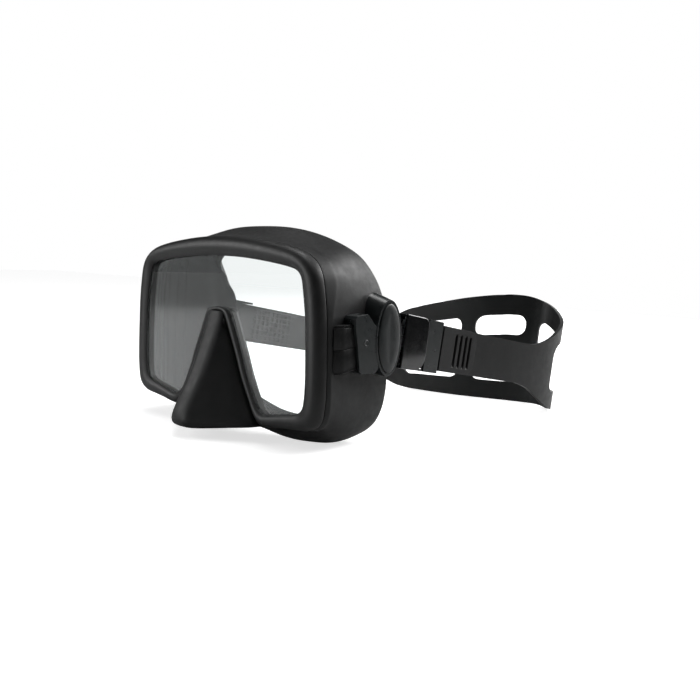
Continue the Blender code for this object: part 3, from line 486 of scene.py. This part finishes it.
# At the same places: widths of the front flange and of the lip that seals on the face, and the depth
# of the shoulder's ridge.
FLANGE = [8.6] * 12 + [8.0, 6.6, 5.6, 5.2, 4.4, 3.0, 2.8, 2.8, 2.8]
LIP = [12, 12, 12.5, 14, 17, 20, 24, 27, 28.5, 29, 28, 24, 18, 13.5] + [11.5] * 7
SHOULDER = [9.5, 9.5, 9.5, 9.6, 10.0, 10.8, 11.2, 11.1, 7.8, 6.4, 6.6, 7.0, 7.4, 7.8, 8.0, 8.2,
            8.4] + [8.6] * 4
FOLDS = (0.16, 0.50, 0.84)   # stiffening folds round the inside, as shares of the way to the waist


def make_skirt():
    """Open-backed silicone skirt that laps over the rim, with a shoulder, a waist, and a sealing lip."""
    front, waist, belly, rear = (
        spline(mirrored(half), 3, True)
        for half in ([(x, RIM_BACK + 0.3, z) for x, z in SKIRT_FRONT], SKIRT_WAIST, SKIRT_BELLY, SKIRT_REAR))
    flange, lip, shoulder = (spline(mirrored([(0.0, value) for value in values]), 3, True)[:, 1]
                             for values in (FLANGE, LIP, SHOULDER))
    into = [inward(curve[:, [0, 2]]) for curve in (front, waist, belly, rear)]
    between = (belly + rear) / 2
    points = []
    for i in range(len(front)):

        def at(curve, direction, inset, back):
            x, y, z = curve[i]
            move = direction[i] * inset
            return np.array((x + move[0], y + back, z + move[1]))

        waist_in = at(waist, into[1], SKIRT_WALL, 0.3)
        belly_in = at(belly, into[2], SKIRT_WALL, 0.0)
        # Under the nose there is no rim, so the lap fades out there.
        lap = smooth_step(abs(front[i][0]), 40.0, 50.0) if front[i][2] < 20.0 else 1.0
        ridge = shoulder[i] - front[i][1]
        tip = 0.1 + (LAP_FROM - front[i][1]) * lap
        section = [
            at(front, into[0], 0.9, 0.0),
            at(front, into[0], 0.2, 0.0),
            at(front, into[0], 0.2, tip + 0.25 * lap),
            at(front, into[0], 0.1, tip),
            at(front, into[0], -0.3 * lap, tip + 0.05),
            at(front, into[0], -0.45 * lap, tip + 0.35),
            at(front, into[0], -0.45 * lap - 0.3, 0.35 * tip + 0.65 * ridge),
            at(front, into[0], -0.45 * lap - 0.45, ridge),
            at(front, into[0], -0.3 * lap - 0.25, ridge + 1.2),
            at(waist, into[1], -0.5, 3.0),
            at(belly, into[2], 0.0, 0.0),
            at(between, into[2], -0.4, 0.0),
            at(rear, into[3], 0.0, 0.0),
            at(rear, into[3], 0.7, 0.9),
            at(rear, into[3], 2.0, 1.4),
            at(rear, into[3], 0.35 * lip[i], 1.3),
            at(rear, into[3], 0.62 * lip[i], 0.6),
            at(rear, into[3], lip[i] - 0.2, -1.7),
            at(rear, into[3], lip[i] + 0.1, -2.4),
            at(rear, into[3], lip[i] - 0.5, -3.0),
            at(rear, into[3], 0.52 * lip[i], -1.9),
            at(rear, into[3], SKIRT_WALL + 0.4, -3.2),
            belly_in]
        for share in FOLDS:
            middle = belly_in + (waist_in - belly_in) * share
            ahead = (waist_in - belly_in) * 0.06
            crest = middle + np.array((into[1][i][0], 0.0, into[1][i][1])) * 0.8
            section += [middle - ahead, crest, middle + ahead]
        section += [
            waist_in,
            at(front, into[0], flange[i] + 0.2, 3.2),
            at(front, into[0], flange[i], 2.4),
            at(front, into[0], flange[i] + 0.6, 0.0)]
        points += section
    sides = len(section)
    obj = new_object("skirt_shell", points, ring_faces(len(front), sides))
    hard = {0, sides - 1, 2, 3, 4}
    crease_edges(obj, lambda a, b: float(a % sides in hard and b % sides == a % sides))
    finish_piece(obj, SKIRT_RUBBER, "mask", "skirt_rubber", ("skirt",), sub=2)


POCKET_REAR = 7.3            # depth at which the pocket ends behind the glass
# Nose pocket rows, from the top of the nose to under the lip:
# (ridge height, ridge depth, ridge half width, edge x, edge z)
POCKET_ROWS = [
    (65.7, -2.1, 5.2, 3.4, 64.2), (63.2, -3.2, 6.3, 4.3, 62.4), (58.5, -4.8, 6.3, 7.2, 58.5),
    (52, -6.9, 5.8, 10.6, 52), (46, -9.2, 6.0, 13.6, 46), (40, -11.6, 6.0, 16.5, 40),
    (34, -14, 6.0, 19.2, 34), (28, -17, 6.0, 22.4, 28), (22, -20.2, 6.0, 25.9, 22),
    (16, -23.4, 6.1, 29.5, 16), (10.5, -25.8, 6.3, 32.9, 11.2), (7, -25.6, 6.4, 34.3, 9.0),
    (5, -23, 6.4, 34.6, 8.2), (4.2, -16, 6.4, 34.0, 7.7), (3.9, -8, 6.4, 33.0, 7.4),
    (4.2, 0, 6.4, 32.0, 7.2), (5.3, POCKET_REAR, 6.4, 31.0, 7.0)]


def pocket_row(row):
    """Half of one row of the pocket's outside, from its rear edge to the ridge."""
    ridge_z, ridge_y, ridge_half, edge_x, edge_z = row
    rear = np.array([edge_x, POCKET_REAR, edge_z])
    side = np.array([edge_x - 0.15, min(-0.4, ridge_y * 0.1) if ridge_y < 0 else 6.5, edge_z])
    corner = np.array([ridge_half + 0.9, ridge_y + 1.6, ridge_z])
    if ridge_y >= 0:
        side = rear + (corner - rear) * 0.1
        corner[1] = ridge_y
    ridge = np.array([ridge_half - 1.6, ridge_y, ridge_z])
    middle = np.array([0.0, ridge_y - 0.25, ridge_z])
    if ridge_y > 7:
        corner[1] = ridge[1] = middle[1] = side[1] = POCKET_REAR
    return [rear, side, side + (corner - side) * 0.3, side + (corner - side) * 0.65, corner, ridge, middle]


def make_nose_pocket():
    """Thin-walled pocket for the nose, open behind, with a flat ridge down its front."""
    rows = []
    for row in POCKET_ROWS:
        half = pocket_row(row)
        other = [point * np.array([-1.0, 1.0, 1.0]) for point in half[:-1]]
        rows.append(half + other[::-1])
    outer = np.array(rows)
    normal = np.cross(np.gradient(outer, axis=0), np.gradient(outer, axis=1))
    normal /= np.linalg.norm(normal, axis=2)[:, :, None]
    if normal[8, 6, 1] > 0:
        normal = -normal
    wall = np.minimum(POCKET_WALL, 0.42 * np.array([row[3] for row in POCKET_ROWS]))
    inner = outer - normal * wall[:, None, None]
    inner[:, [0, -1], 1] = POCKET_REAR
    inner[-1, :, 1] = POCKET_REAR
    inner[-1, :, 2] = outer[-1, :, 2] + POCKET_WALL
    count_rows, count_cols = outer.shape[:2]
    half = count_rows * count_cols
    faces = []
    for i in range(count_rows - 1):
        for j in range(count_cols - 1):
            a = i * count_cols + j
            quad = (a, a + 1, a + 1 + count_cols, a + count_cols)
            faces += [quad, tuple(index + half for index in quad[::-1])]
    border = [(0, j) for j in range(count_cols)] + [(i, count_cols - 1) for i in range(1, count_rows)]
    border += [(count_rows - 1, j) for j in range(count_cols - 2, -1, -1)]
    border += [(i, 0) for i in range(count_rows - 2, 0, -1)]
    loop = [i * count_cols + j for i, j in border]
    for k, here in enumerate(loop):
        there = loop[(k + 1) % len(loop)]
        faces.append((here, here + half, there + half, there))
    obj = new_object("nose_pocket_shell", np.vstack([outer.reshape(-1, 3), inner.reshape(-1, 3)]), faces)
    edge = set(loop) | {index + half for index in loop}
    ridge = {i * count_cols + j for i in range(2, 12) for j in (4, 8)}

    def crease_of(a, b):
        if a in edge and b in edge:
            return 0.9
        return 0.75 if a in ridge and b in ridge and abs(a - b) == count_cols else 0.0

    crease_edges(obj, crease_of)
    finish_piece(obj, SKIRT_RUBBER, "mask", "skirt_rubber", ("nose_pocket",), sub=2)


# ---------------------------------------------------------------- side tabs

# Plan of the tongue's face (x, y) from its root to the plate of the buckle.
TAB_FACE = [(81.3, 7.7), (82.6, 8.7), (84.25, 10.9), (84.8, 12.8), (85.2, 14.7), (85.5, 18.2)]
TAB_Z = 53.5
TAB_END = 17.0               # from here to the root the tongue droops and widens
TAB_ROOT = 8.3
TAB_DROOP = 1.6
TAB_WIDENS = 0.08


def tab_height(height, depth):
    """Height of a point of the tongue, which droops and widens towards its root."""
    share = min(max((TAB_END - depth) / (TAB_END - TAB_ROOT), 0.0), 1.0)
    return TAB_Z + height * (1.0 + TAB_WIDENS * share) - TAB_DROOP * share


def make_tab(tag, sign):
    """The rubber tongue, chamfered at its root, with a face in two halves and a groove between."""
    obj = welded_copy("side_tab_" + tag, "tab_band_" + tag)
    for corner in obj.data.vertices:
        depth = corner.co.y / MM + DEPTH_SHIFT
        if depth < TAB_END:
            corner.co.z = tab_height(corner.co.z / MM - TAB_Z, depth) * MM
        if depth < 9.5 and abs(corner.co.x) > 81.4 * MM:
            corner.co.x = sign * 81.2 * MM
    finish_piece(obj, SKIRT_RUBBER, "mask", "skirt_rubber", ("side_tab_" + tag,), bevel=0.3, segments=2)
    path = spline(TAB_FACE, 6, False)
    ahead = np.gradient(path, axis=0)
    out = np.stack([ahead[:, 1], -ahead[:, 0]], axis=1)
    out /= np.linalg.norm(out, axis=1)[:, None]
    for part, low, high, proud in (("upper", 0.2, 9.75, 0.4), ("lower", -9.75, -0.2, 0.3)):
        points = []
        for k, (x, y) in enumerate(path):
            section = [(low, -0.6), (low, proud - 0.15), (low + 0.18, proud), (high - 0.3, proud),
                       (high, proud - 0.22), (high, -0.6)]
            points += [(sign * (x + out[k][0] * rise), y + out[k][1] * rise, tab_height(z, y))
                       for z, rise in section]
        layer = new_object("tab_layer_" + part + "_" + tag, points, capped_tube(len(path), len(section)))
        finish_piece(layer, SKIRT_RUBBER, "mask", "skirt_rubber")
        layer.data.set_sharp_from_angle(angle=math.radians(50.0))


# ---------------------------------------------------------------- buckles

HARD_NODES = [
    ("buckle_base", BUCKLE_PLASTIC, "buckle_plastic", 0.45),
    ("buckle_body", BUCKLE_PLASTIC, "buckle_plastic", 0.35),
    ("buckle_cover", COVER_PLASTIC, "cover_plastic", 0.5),
    ("anchor_pin", STEEL, "steel", 0.25),
    ("swivel_pin", STEEL, "steel", 0.15),
    ("button_spring", STEEL, "steel", 0.0),
    ("roller", STEEL, "steel", 0.2),
    ("roller_pin", STEEL, "steel", 0.2),
    ("pawl", STEEL, "steel", 0.12),
    ("pawl_pin", STEEL, "steel", 0.15)]
BUTTON_HALF = (8.0, 17.5)    # half width and half height of the oval that the button fills
CUP_FACE = 79.8              # the cup's inner face is just inside this x
CUP_FROM = 28.5              # depth at which the cup starts, behind the fixed plate
CUP_FLARE = (2.3, 3.0, 1.0)  # how far the top of that face reaches inward, upward and forward
DIMPLE = (87.6, 23.4, 55.3)


def flare_cup(obj, sign):
    """Draws the top of the cup's inner face in towards the skirt, and outward."""
    inward_by, upward_by, forward_by = (reach * MM for reach in CUP_FLARE)
    for corner in obj.data.vertices:
        depth = corner.co.y / MM + DEPTH_SHIFT
        share = smooth_step(corner.co.z / MM, 60.0, 74.0)
        if abs(corner.co.x) < CUP_FACE * MM and depth > CUP_FROM:
            corner.co.x -= sign * inward_by * share
            corner.co.z += upward_by * share
            if depth < SWIVEL[0]:
                corner.co.y -= forward_by * share


def shorten_spring(obj):
    """Marks the spring's edges sharp above 60 degrees and gives it a mesh of its own."""
    obj.data.set_sharp_from_angle(angle=math.radians(60.0))
    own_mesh(obj)


def make_hard_parts(tag, sign):
    """Plastic and steel parts of one buckle: the CAD surfaces with softened edges."""
    for stem, material, slot, bevel in HARD_NODES:
        node = stem + "_" + tag
        obj = welded_copy(node, stem + "_finished_" + tag)
        if stem == "buckle_base":
            flare_cup(obj, sign)
        finish_piece(obj, material, BODY_OF[node], slot, (node,), bevel=bevel)
        if stem == "button_spring":
            shorten_spring(obj)


def make_dimple(tag, sign):
    """Shallow gate mark with a raised ring on the face of the buckle's fixed plate."""
    rings = ((1.75, -0.1), (1.7, 0.05), (1.5, 0.16), (1.25, 0.14), (1.05, 0.02), (0.7, -0.02))
    count = 32
    points = []
    for radius, rise in rings:
        points += oval_ring(sign * (DIMPLE[0] + rise), DIMPLE[1:], radius, radius, count)
    obj = new_object("plate_dimple_" + tag, points, capped_tube(len(rings), count))
    finish_piece(obj, BUCKLE_PLASTIC, "mask", "buckle_plastic")
    obj.data.set_sharp_from_angle(angle=math.radians(70.0))


def make_button(tag, sign):
    """Domed oval push button with a rolled edge and a soft thumb dish."""
    layers = [(86.4, 0.30), (87.5, 0.30), (88.0, 0.34), (88.25, 0.48), (88.42, 0.75), (88.55, 1.2),
              (88.68, 2.0), (88.8, 3.0), (88.88, 4.1), (88.86, 5.4), (88.78, 6.6)]
    count = 72
    points = []
    for x, inset in layers:
        points += oval_ring(sign * x, SWIVEL, BUTTON_HALF[0] - inset, BUTTON_HALF[1] - inset, count)
    obj = new_object("button_dome_" + tag, points, capped_tube(len(layers), count))
    finish_piece(obj, BUTTON_PLASTIC, "button_" + tag, "buckle_plastic", ("release_button_" + tag,))
    obj.data.set_sharp_from_angle(angle=math.radians(50.0))


# ---------------------------------------------------------------- strap

STRAP_THICK = 2.2
STRAP_HALF = 12.3
ROLLER_X = 79.85
ROLLER_T = 16.6
WRAP_R = 2.0 + 0.15 + STRAP_THICK / 2
# Plan of the strap in its own frame (x, t): the free end outside a buckle, the lead away from the
# buckle, and the loop behind the head from left to right.
TAIL_PATH = [(83.5, 76.5), (83.1, 66.0), (83.0, 54.0), (83.0, 44.0), (83.1, 34.0), (83.1, ROLLER_T)]
LEAD_PATH = [(76.6, ROLLER_T), (76.6, 30.0), (78.2, 38.0), (79.5, 46.0), (80.1, 62.0), (80.9, 80.0)]
LOOP_PATH = [
    (82.6, 100.0), (84.4, 120.0), (85.6, 140.0), (85.2, 157.0), (82.0, 171.0), (75.0, 181.5), (65.0, 188.5),
    (54.0, 190.5), (40.0, 186.0), (22.0, 178.0), (4.0, 171.5), (-15.0, 168.0), (-35.0, 166.5), (-55.0, 163.0),
    (-71.0, 154.0), (-80.5, 140.0), (-84.5, 122.0), (-84.3, 100.0)]
PATTERN_AT = 218.0           # distance from the left roller to the middle of the window pattern
# Heights of the two edges, and the forward lean of the band, along the strap from that middle.
TOP_EDGE = [
    (-112, STRAP_HALF), (-100, 12.8), (-90, 15.0), (-80, 19.2), (-70, 25.0), (-60, 30.5), (-50, 35.5),
    (-40, 41.0), (-30, 45.6), (-20, 48.2), (-10, 48.6), (0, 47.4), (20, 43.5), (40, 38.5), (60, 33.8),
    (75, 29.5), (90, 22.0), (105, 15.0), (120, STRAP_HALF)]
LOW_EDGE = [
    (-112, -STRAP_HALF), (-100, -14.4), (-90, -18.3), (-80, -22.4), (-70, -25.2), (-50, -26.1),
    (-38, -25.0), (-30, -24.7), (-20, -25.4), (0, -27.2), (20, -28.2), (40, -28.9), (60, -28.8),
    (78, -27.6), (90, -23.5), (105, -16.5), (120, -STRAP_HALF)]
LEAN = [(-60, 0.0), (-30, -0.03), (-10, -0.09), (20, -0.14), (60, -0.12), (100, -0.05), (130, 0.0)]
ARM_WIDTH = [(0, 14.0), (30, 13.6), (60, 12.0), (78, 9.0), (100, 4.0), (112, 3.0)]
# Windows: (start, end, the cells that it takes of the three between the two arms).
WINDOWS = [(-73.0, -27.0, (1, 2, 3)), (-17.5, 17.5, (1,)), (-17.5, 17.5, (3,)), (27.0, 73.0, (1, 2, 3))]
SMALL_WINDOW = 14.0
CORNER = 6.0
BAND_PARTS = (6, 4, 4, 4, 6)     # rows of faces in the low arm, the three cells, and the top arm
GRIP_FROM, GRIP_TO = 48.0, 85.0
GRIP_LINES = (-10.2, -6.8, -3.4, 0.0, 3.4, 6.8, 10.2)
GRIP_LIFT = 1.05


def strap_path():
    """Dense plan of the strap from tail to tail, its travel, and where each stretch begins."""
    tail = spline(TAIL_PATH, 24, False)[:-1]
    turn = [(ROLLER_X + WRAP_R * math.cos(a), ROLLER_T - WRAP_R * math.sin(a))
            for a in np.linspace(0, math.pi, 60)[:-1]]
    other = [(-x, t) for x, t in LEAD_PATH[::-1]]
    main = spline(LEAD_PATH + LOOP_PATH + other, 24, False)
    front = np.vstack([tail, turn])
    back = (front * (-1.0, 1.0))[::-1]
    plan = np.vstack([front, main, back])
    steps = np.linalg.norm(np.diff(plan, axis=0), axis=1)
    return plan, np.concatenate([[0.0], np.cumsum(steps)]), len(tail), len(front)


PLAN, TRAVEL, TURN_START, TURN_END = strap_path()
LENGTH = TRAVEL[-1]
MIDDLE_AT = TRAVEL[TURN_END] + PATTERN_AT


def on_tail(t):
    return float(np.interp(-t, -PLAN[:TURN_START, 1], TRAVEL[:TURN_START]))


def on_lead(t):
    end = TURN_END + 24 * len(LEAD_PATH)
    return float(np.interp(t, PLAN[TURN_END:end, 1], TRAVEL[TURN_END:end]))


def frame_at(travelled):
    """Point of the plan at this travel, and the unit vector away from the head."""
    point = np.array([np.interp(travelled, TRAVEL, PLAN[:, k]) for k in (0, 1)])
    ahead, behind = min(travelled + 0.4, LENGTH), max(travelled - 0.4, 0.0)
    step = np.array([np.interp(ahead, TRAVEL, PLAN[:, k]) - np.interp(behind, TRAVEL, PLAN[:, k])
                     for k in (0, 1)])
    step /= np.linalg.norm(step)
    return point, np.array([step[1], -step[0]])


def strap_rows(place, from_tip):
    """Heights of the six band edges of a column at this distance from the middle of the pattern."""
    top = curve_value(TOP_EDGE, place)
    low = curve_value(LOW_EDGE, place)
    margin = curve_value(ARM_WIDTH, abs(place))
    if from_tip < 7.0:
        top = STRAP_HALF - 7.0 + math.sqrt(max(49.0 - (7.0 - from_tip) ** 2, 0.0))
        low = -top
        margin = 3.0 * top / STRAP_HALF
    rows = [low, low + margin, 0.0, 0.0, top - margin, top]
    even = (rows[4] - rows[1]) / 3
    part = even + (SMALL_WINDOW - even) * smooth_step(-abs(place), -60.0, -25.0)
    rows[2] = rows[1] + part
    rows[3] = rows[4] - part
    for start, end, cells in WINDOWS:
        depth = min(place - start, end - place)
        if -0.01 <= depth < CORNER:
            inset = CORNER - math.sqrt(max(CORNER ** 2 - (CORNER - max(depth, 0.0)) ** 2, 0.0))
            rows[cells[0]] += inset
            rows[cells[-1] + 1] -= inset
    return rows


def strap_column(travelled):
    """Heights of all the rows of a column, its point, its outward vector and its lean."""
    point, out = frame_at(travelled)
    lean = curve_value(LEAN, travelled - MIDDLE_AT)
    bands = strap_rows(travelled - MIDDLE_AT, min(travelled, LENGTH - travelled))
    floor = (math.sin(STRAP_TILT) * (point[1] + 1.1 * out[1]) - SWIVEL[1]) / (
        math.cos(STRAP_TILT) - math.sin(STRAP_TILT) * out[1] * lean)
    bands[0] = max(bands[0], floor)
    rows = []
    for k, parts in enumerate(BAND_PARTS):
        rows += [bands[k] + (bands[k + 1] - bands[k]) * j / parts for j in range(parts)]
    return rows + [bands[5]], point, out, lean


def strap_marks():
    """Travel of every column: all the pattern's stops, then an even spacing between them."""
    grooves = [(on_tail(t + 0.85), on_tail(t - 0.85)) for t in (58.3, 62.7, 67.1, 71.0)]
    ridge = (on_tail(47.6), on_tail(45.4))
    teeth = [(on_tail(t + 1.0), on_tail(t - 1.0)) for t in (20.5, 24.5)]
    teeth += [(on_lead(t - 1.0), on_lead(t + 1.0)) for t in range(50, 86, 4)]
    stops = [0.0, 0.4, 1.0, 1.8, 2.8, 3.8, 5.0, 6.2, 7.4]
    for low, high in grooves + teeth + [ridge]:
        stops += [low - 0.2, low + 0.2, high - 0.2, high + 0.2]
    turn = TRAVEL[TURN_END] - TRAVEL[TURN_START]
    stops += [TRAVEL[TURN_START] + turn * k / 14 for k in range(15)]
    marks = {round(float(stop), 3) for stop in stops} | {round(float(LENGTH - stop), 3) for stop in stops}
    for start, end, _ in WINDOWS:
        for step in (0.0, 0.3, 0.8, 1.6, 2.6, 3.8, 5.0, 6.0):
            marks |= {round(float(MIDDLE_AT + start + step), 3), round(float(MIDDLE_AT + end - step), 3)}
    taken = sorted(marks)
    for travelled in np.arange(0.0, LENGTH, 2.0):
        if min(abs(travelled - mark) for mark in taken) > 0.9:
            marks.add(round(float(travelled), 3))
    return sorted(marks), grooves, teeth, ridge


def make_strap():
    """Moulded rubber strap from tail to tail, with grooved tabs, ribs and the windowed back."""
    marks, grooves, teeth, ridge = strap_marks()
    band_of = [k for k, parts in enumerate(BAND_PARTS) for _ in range(parts)]
    count = len(band_of) + 1

    def raised(away, height):
        """Extra thickness on the ribbed face."""
        middle = abs(height) < 8.8
        extra = 0.8 if away <= ridge[1] else 0.0
        if ridge[0] <= away <= ridge[1]:
            extra = 1.5
        if middle and any(low <= away <= high for low, high in grooves):
            extra = -0.5
        if middle and any(low <= away <= high for low, high in teeth):
            extra = 0.6
        return extra

    points = []
    for travelled in marks:
        rows, point, out, lean = strap_column(travelled)
        away = min(travelled, LENGTH - travelled)
        for face in (0, 1):
            for height in rows:
                shift = STRAP_THICK / 2 if face == 0 else -STRAP_THICK / 2 - raised(away, height)
                moved = point + out * (shift + lean * height)
                points.append((moved[0], moved[1], height))

    def solid(i, k):
        if not 0 <= i < len(marks) - 1 or not 0 <= k < count - 1:
            return False
        middle = (marks[i] + marks[i + 1]) / 2 - MIDDLE_AT
        return not any(band_of[k] in cells and start < middle < end for start, end, cells in WINDOWS)

    faces = []
    for i in range(len(marks) - 1):
        for k in range(count - 1):
            if not solid(i, k):
                continue
            a, b = i * 2 * count + k, (i + 1) * 2 * count + k
            faces += [(a, b, b + 1, a + 1), (a + count, a + count + 1, b + count + 1, b + count)]
            if not solid(i, k - 1):
                faces.append((a, a + count, b + count, b))
            if not solid(i, k + 1):
                faces.append((a + 1, b + 1, b + 1 + count, a + 1 + count))
            if not solid(i - 1, k):
                faces.append((a, a + 1, a + 1 + count, a + count))
            if not solid(i + 1, k):
                faces.append((b, b + count, b + 1 + count, b + 1))
    used = sorted({index for face in faces for index in face})
    renumber = {old: new for new, old in enumerate(used)}
    obj = new_object("strap_band", strap_to_mask([points[index] for index in used]),
                     [tuple(renumber[index] for index in face) for face in faces])
    finish_piece(obj, STRAP_RUBBER, "strap_unit", "strap_rubber", ("strap",), bevel=0.45, bevel_angle=38.0)


def add_rib(points, faces, stops, place, lift, half, along):
    """Adds one rounded rib on the side towards the head, along the strap or across it.

    Stops are its travels and place its height, or the other way round for a rib across the strap."""
    base = len(points)
    section = ((-half, -0.3), (-half + 0.08, lift - 0.25), (-half + 0.3, lift), (half - 0.3, lift),
               (half - 0.08, lift - 0.25), (half, -0.3))
    for k, stop in enumerate(stops):
        low = 0.35 if k in (0, len(stops) - 1) else 1.0
        for offset, rise in section:
            travelled, height = (stop, place + offset) if along else (place + offset, stop)
            point, out = frame_at(travelled)
            moved = point - out * (STRAP_THICK / 2 + (rise * low if rise > 0 else rise))
            points.append((moved[0], moved[1], height))
    faces += capped_tube(len(stops), len(section), base)


def make_grip(tag, sign):
    """Ladder of ribs on the side of the strap towards the head, which the buckle's teeth hold."""

    def turned(travelled):
        return travelled if sign > 0 else LENGTH - travelled

    lengthwise = [turned(travelled) for travelled in np.linspace(on_lead(GRIP_FROM), on_lead(GRIP_TO), 24)]
    points, faces = [], []
    for line in GRIP_LINES:
        add_rib(points, faces, lengthwise, line, GRIP_LIFT, 0.55, True)
    for t in range(50, 86, 4):
        add_rib(points, faces, list(np.linspace(-11.0, 11.0, 7)), turned(on_lead(t)), GRIP_LIFT + 0.05, 0.65,
                False)
    obj = new_object("strap_grip_" + tag, strap_to_mask(points), faces)
    finish_piece(obj, STRAP_RUBBER, "strap_unit", "strap_rubber")
    obj.data.set_sharp_from_angle(angle=math.radians(50.0))


# ---------------------------------------------------------------- build

make_window()
make_rim()
make_skirt()
make_nose_pocket()
for tag, sign in (("L", 1.0), ("R", -1.0)):
    make_tab(tag, sign)
    make_hard_parts(tag, sign)
    make_dimple(tag, sign)
    make_button(tag, sign)
    make_grip(tag, sign)
make_strap()


# ---------------------------------------------------------------- floor, light, camera

ROOM_LIGHT = 0.035
SUN_LIGHT = 1.35
FLOOR_GLOW = 0.655           # lifts the floor to white where the camera sees it
FLOOR_BOUNCE = 0.30          # how pale the floor is to light that bounces
FLOOR_SHINE = 0.50           # how pale it is in reflections
FLOOR_REACH = 3.0            # to the left and to the front, in metres
FLOOR_RIGHT = 0.34
FLOOR_REAR = 1.20

CAMERA_AT = (0.35083, -0.35765, 0.09552)
CAMERA_YAW = math.radians(44.713)
CAMERA_PITCH = math.radians(6.525)
CAMERA_ROLL = math.radians(2.027)
CAMERA_LENS = 41.14

# Soft lamps: (name, place, size, power).
SOFTBOXES = [
    ("left_high", (-0.22, 0.0, 0.78), (0.25, 0.25), 1.3),
    ("front_left", (-0.70, -0.65, 0.45), (0.5, 0.4), 3.2),
    ("front_low", (-0.32, -1.1, 0.16), (0.65, 0.4), 4.5),
    ("right_rear", (0.60, 1.10, 0.46), (0.6, 0.5), 4.0),
    ("right_high", (0.55, 0.40, 0.65), (0.5, 0.4), 4.0),
    ("rear_high", (0.20, 0.85, 0.65), (0.5, 0.35), 4.5),
    ("rear_sweep", (-0.20, 1.3, 0.25), (1.4, 0.5), 4.0)]
SOFTBOX_TARGET = (0.0, -0.02, 0.05)


def make_floor():
    """White table top, dimmer to bounced light and to reflections than to the camera."""
    mesh = bpy.data.meshes.new("studio_floor")
    mesh.from_pydata([(-FLOOR_REACH, -FLOOR_REACH, 0.0), (FLOOR_RIGHT, -FLOOR_REACH, 0.0),
                      (FLOOR_RIGHT, FLOOR_REAR, 0.0), (-FLOOR_REACH, FLOOR_REAR, 0.0)], [], [(0, 1, 2, 3)])
    floor = bpy.data.objects.new("studio_floor", mesh)
    floor.location.z = -0.0002
    bpy.context.scene.collection.objects.link(floor)
    made = Nodes("studio_floor_finish", 0.55)
    pale = made.ramp(made.noise(3.0, 2.0, 0.5), [(0.3, (0.79, 0.79, 0.795)), (0.7, (0.81, 0.81, 0.81))])
    glossy = made.tree.nodes.new("ShaderNodeLightPath").outputs["Is Glossy Ray"]
    bounced = made.blend(glossy, (FLOOR_BOUNCE,) * 3, (FLOOR_SHINE,) * 3)
    made.put("Base Color", made.blend(made.seen_directly(), bounced, pale))
    made.shader.inputs["Emission Color"].default_value = (1.0, 1.0, 1.0, 1.0)
    made.put("Emission Strength", made.range(made.seen_directly(), 0.0, FLOOR_GLOW, 0.0, 1.0))
    mesh.materials.append(made.material)


def add_softbox(name, place, size, power):
    """Rectangular lamp aimed at the mask, seen in reflections but not by the camera."""
    data = bpy.data.lights.new(name, "AREA")
    data.shape = "RECTANGLE"
    data.size, data.size_y = size
    data.energy = power
    lamp = bpy.data.objects.new(name, data)
    lamp.location = place
    lamp.rotation_euler = (Vector(SOFTBOX_TARGET) - Vector(place)).to_track_quat("-Z", "Y").to_euler()
    lamp.visible_camera = False
    lamp.visible_transmission = False
    bpy.context.scene.collection.objects.link(lamp)


def light_scene():
    """A white sweep seen behind the object, dim room light, a broad skylight and the soft lamps."""
    world = bpy.data.worlds.new("studio")
    world.use_nodes = True
    tree = world.node_tree
    room = tree.nodes["Background"]
    room.inputs["Color"].default_value = (1.0, 1.0, 1.0, 1.0)
    room.inputs["Strength"].default_value = ROOM_LIGHT
    sweep = tree.nodes.new("ShaderNodeBackground")
    sweep.inputs["Color"].default_value = (1.0, 1.0, 1.0, 1.0)
    sweep.inputs["Strength"].default_value = 1.0
    rays = tree.nodes.new("ShaderNodeLightPath")
    seen = tree.nodes.new("ShaderNodeMath")
    seen.operation = "MAXIMUM"
    tree.links.new(rays.outputs["Is Camera Ray"], seen.inputs[0])
    tree.links.new(rays.outputs["Is Transmission Ray"], seen.inputs[1])
    mix = tree.nodes.new("ShaderNodeMixShader")
    tree.links.new(seen.outputs["Value"], mix.inputs["Fac"])
    tree.links.new(room.outputs["Background"], mix.inputs[1])
    tree.links.new(sweep.outputs["Background"], mix.inputs[2])
    tree.links.new(mix.outputs["Shader"], tree.nodes["World Output"].inputs["Surface"])
    bpy.context.scene.world = world

    data = bpy.data.lights.new("skylight", "SUN")
    data.energy = SUN_LIGHT
    data.angle = math.radians(70.0)
    lamp = bpy.data.objects.new("skylight", data)
    lamp.rotation_euler = Vector((-0.25, -0.25, -1.0)).to_track_quat("-Z", "Y").to_euler()
    bpy.context.scene.collection.objects.link(lamp)
    for softbox in SOFTBOXES:
        add_softbox(*softbox)


def place_camera():
    """The camera, placed by its yaw, pitch and roll."""
    data = bpy.data.cameras.new("camera")
    data.sensor_width = 36.0
    data.lens = CAMERA_LENS
    data.clip_start = 0.01
    data.clip_end = 20.0
    camera = bpy.data.objects.new("camera", data)
    sin_yaw, cos_yaw = math.sin(CAMERA_YAW), math.cos(CAMERA_YAW)
    ahead = Vector((-sin_yaw * math.cos(CAMERA_PITCH), cos_yaw * math.cos(CAMERA_PITCH),
                    -math.sin(CAMERA_PITCH)))
    level = Vector((cos_yaw, sin_yaw, 0.0))
    upright = level.cross(ahead)
    right = math.cos(CAMERA_ROLL) * level + math.sin(CAMERA_ROLL) * upright
    up = -math.sin(CAMERA_ROLL) * level + math.cos(CAMERA_ROLL) * upright
    turned = Matrix((right, up, -ahead)).transposed().to_4x4()
    turned.translation = Vector(CAMERA_AT)
    camera.matrix_world = turned
    bpy.context.scene.collection.objects.link(camera)
    bpy.context.scene.camera = camera


make_floor()
light_scene()
place_camera()
bpy.context.scene.view_settings.view_transform = "Standard"
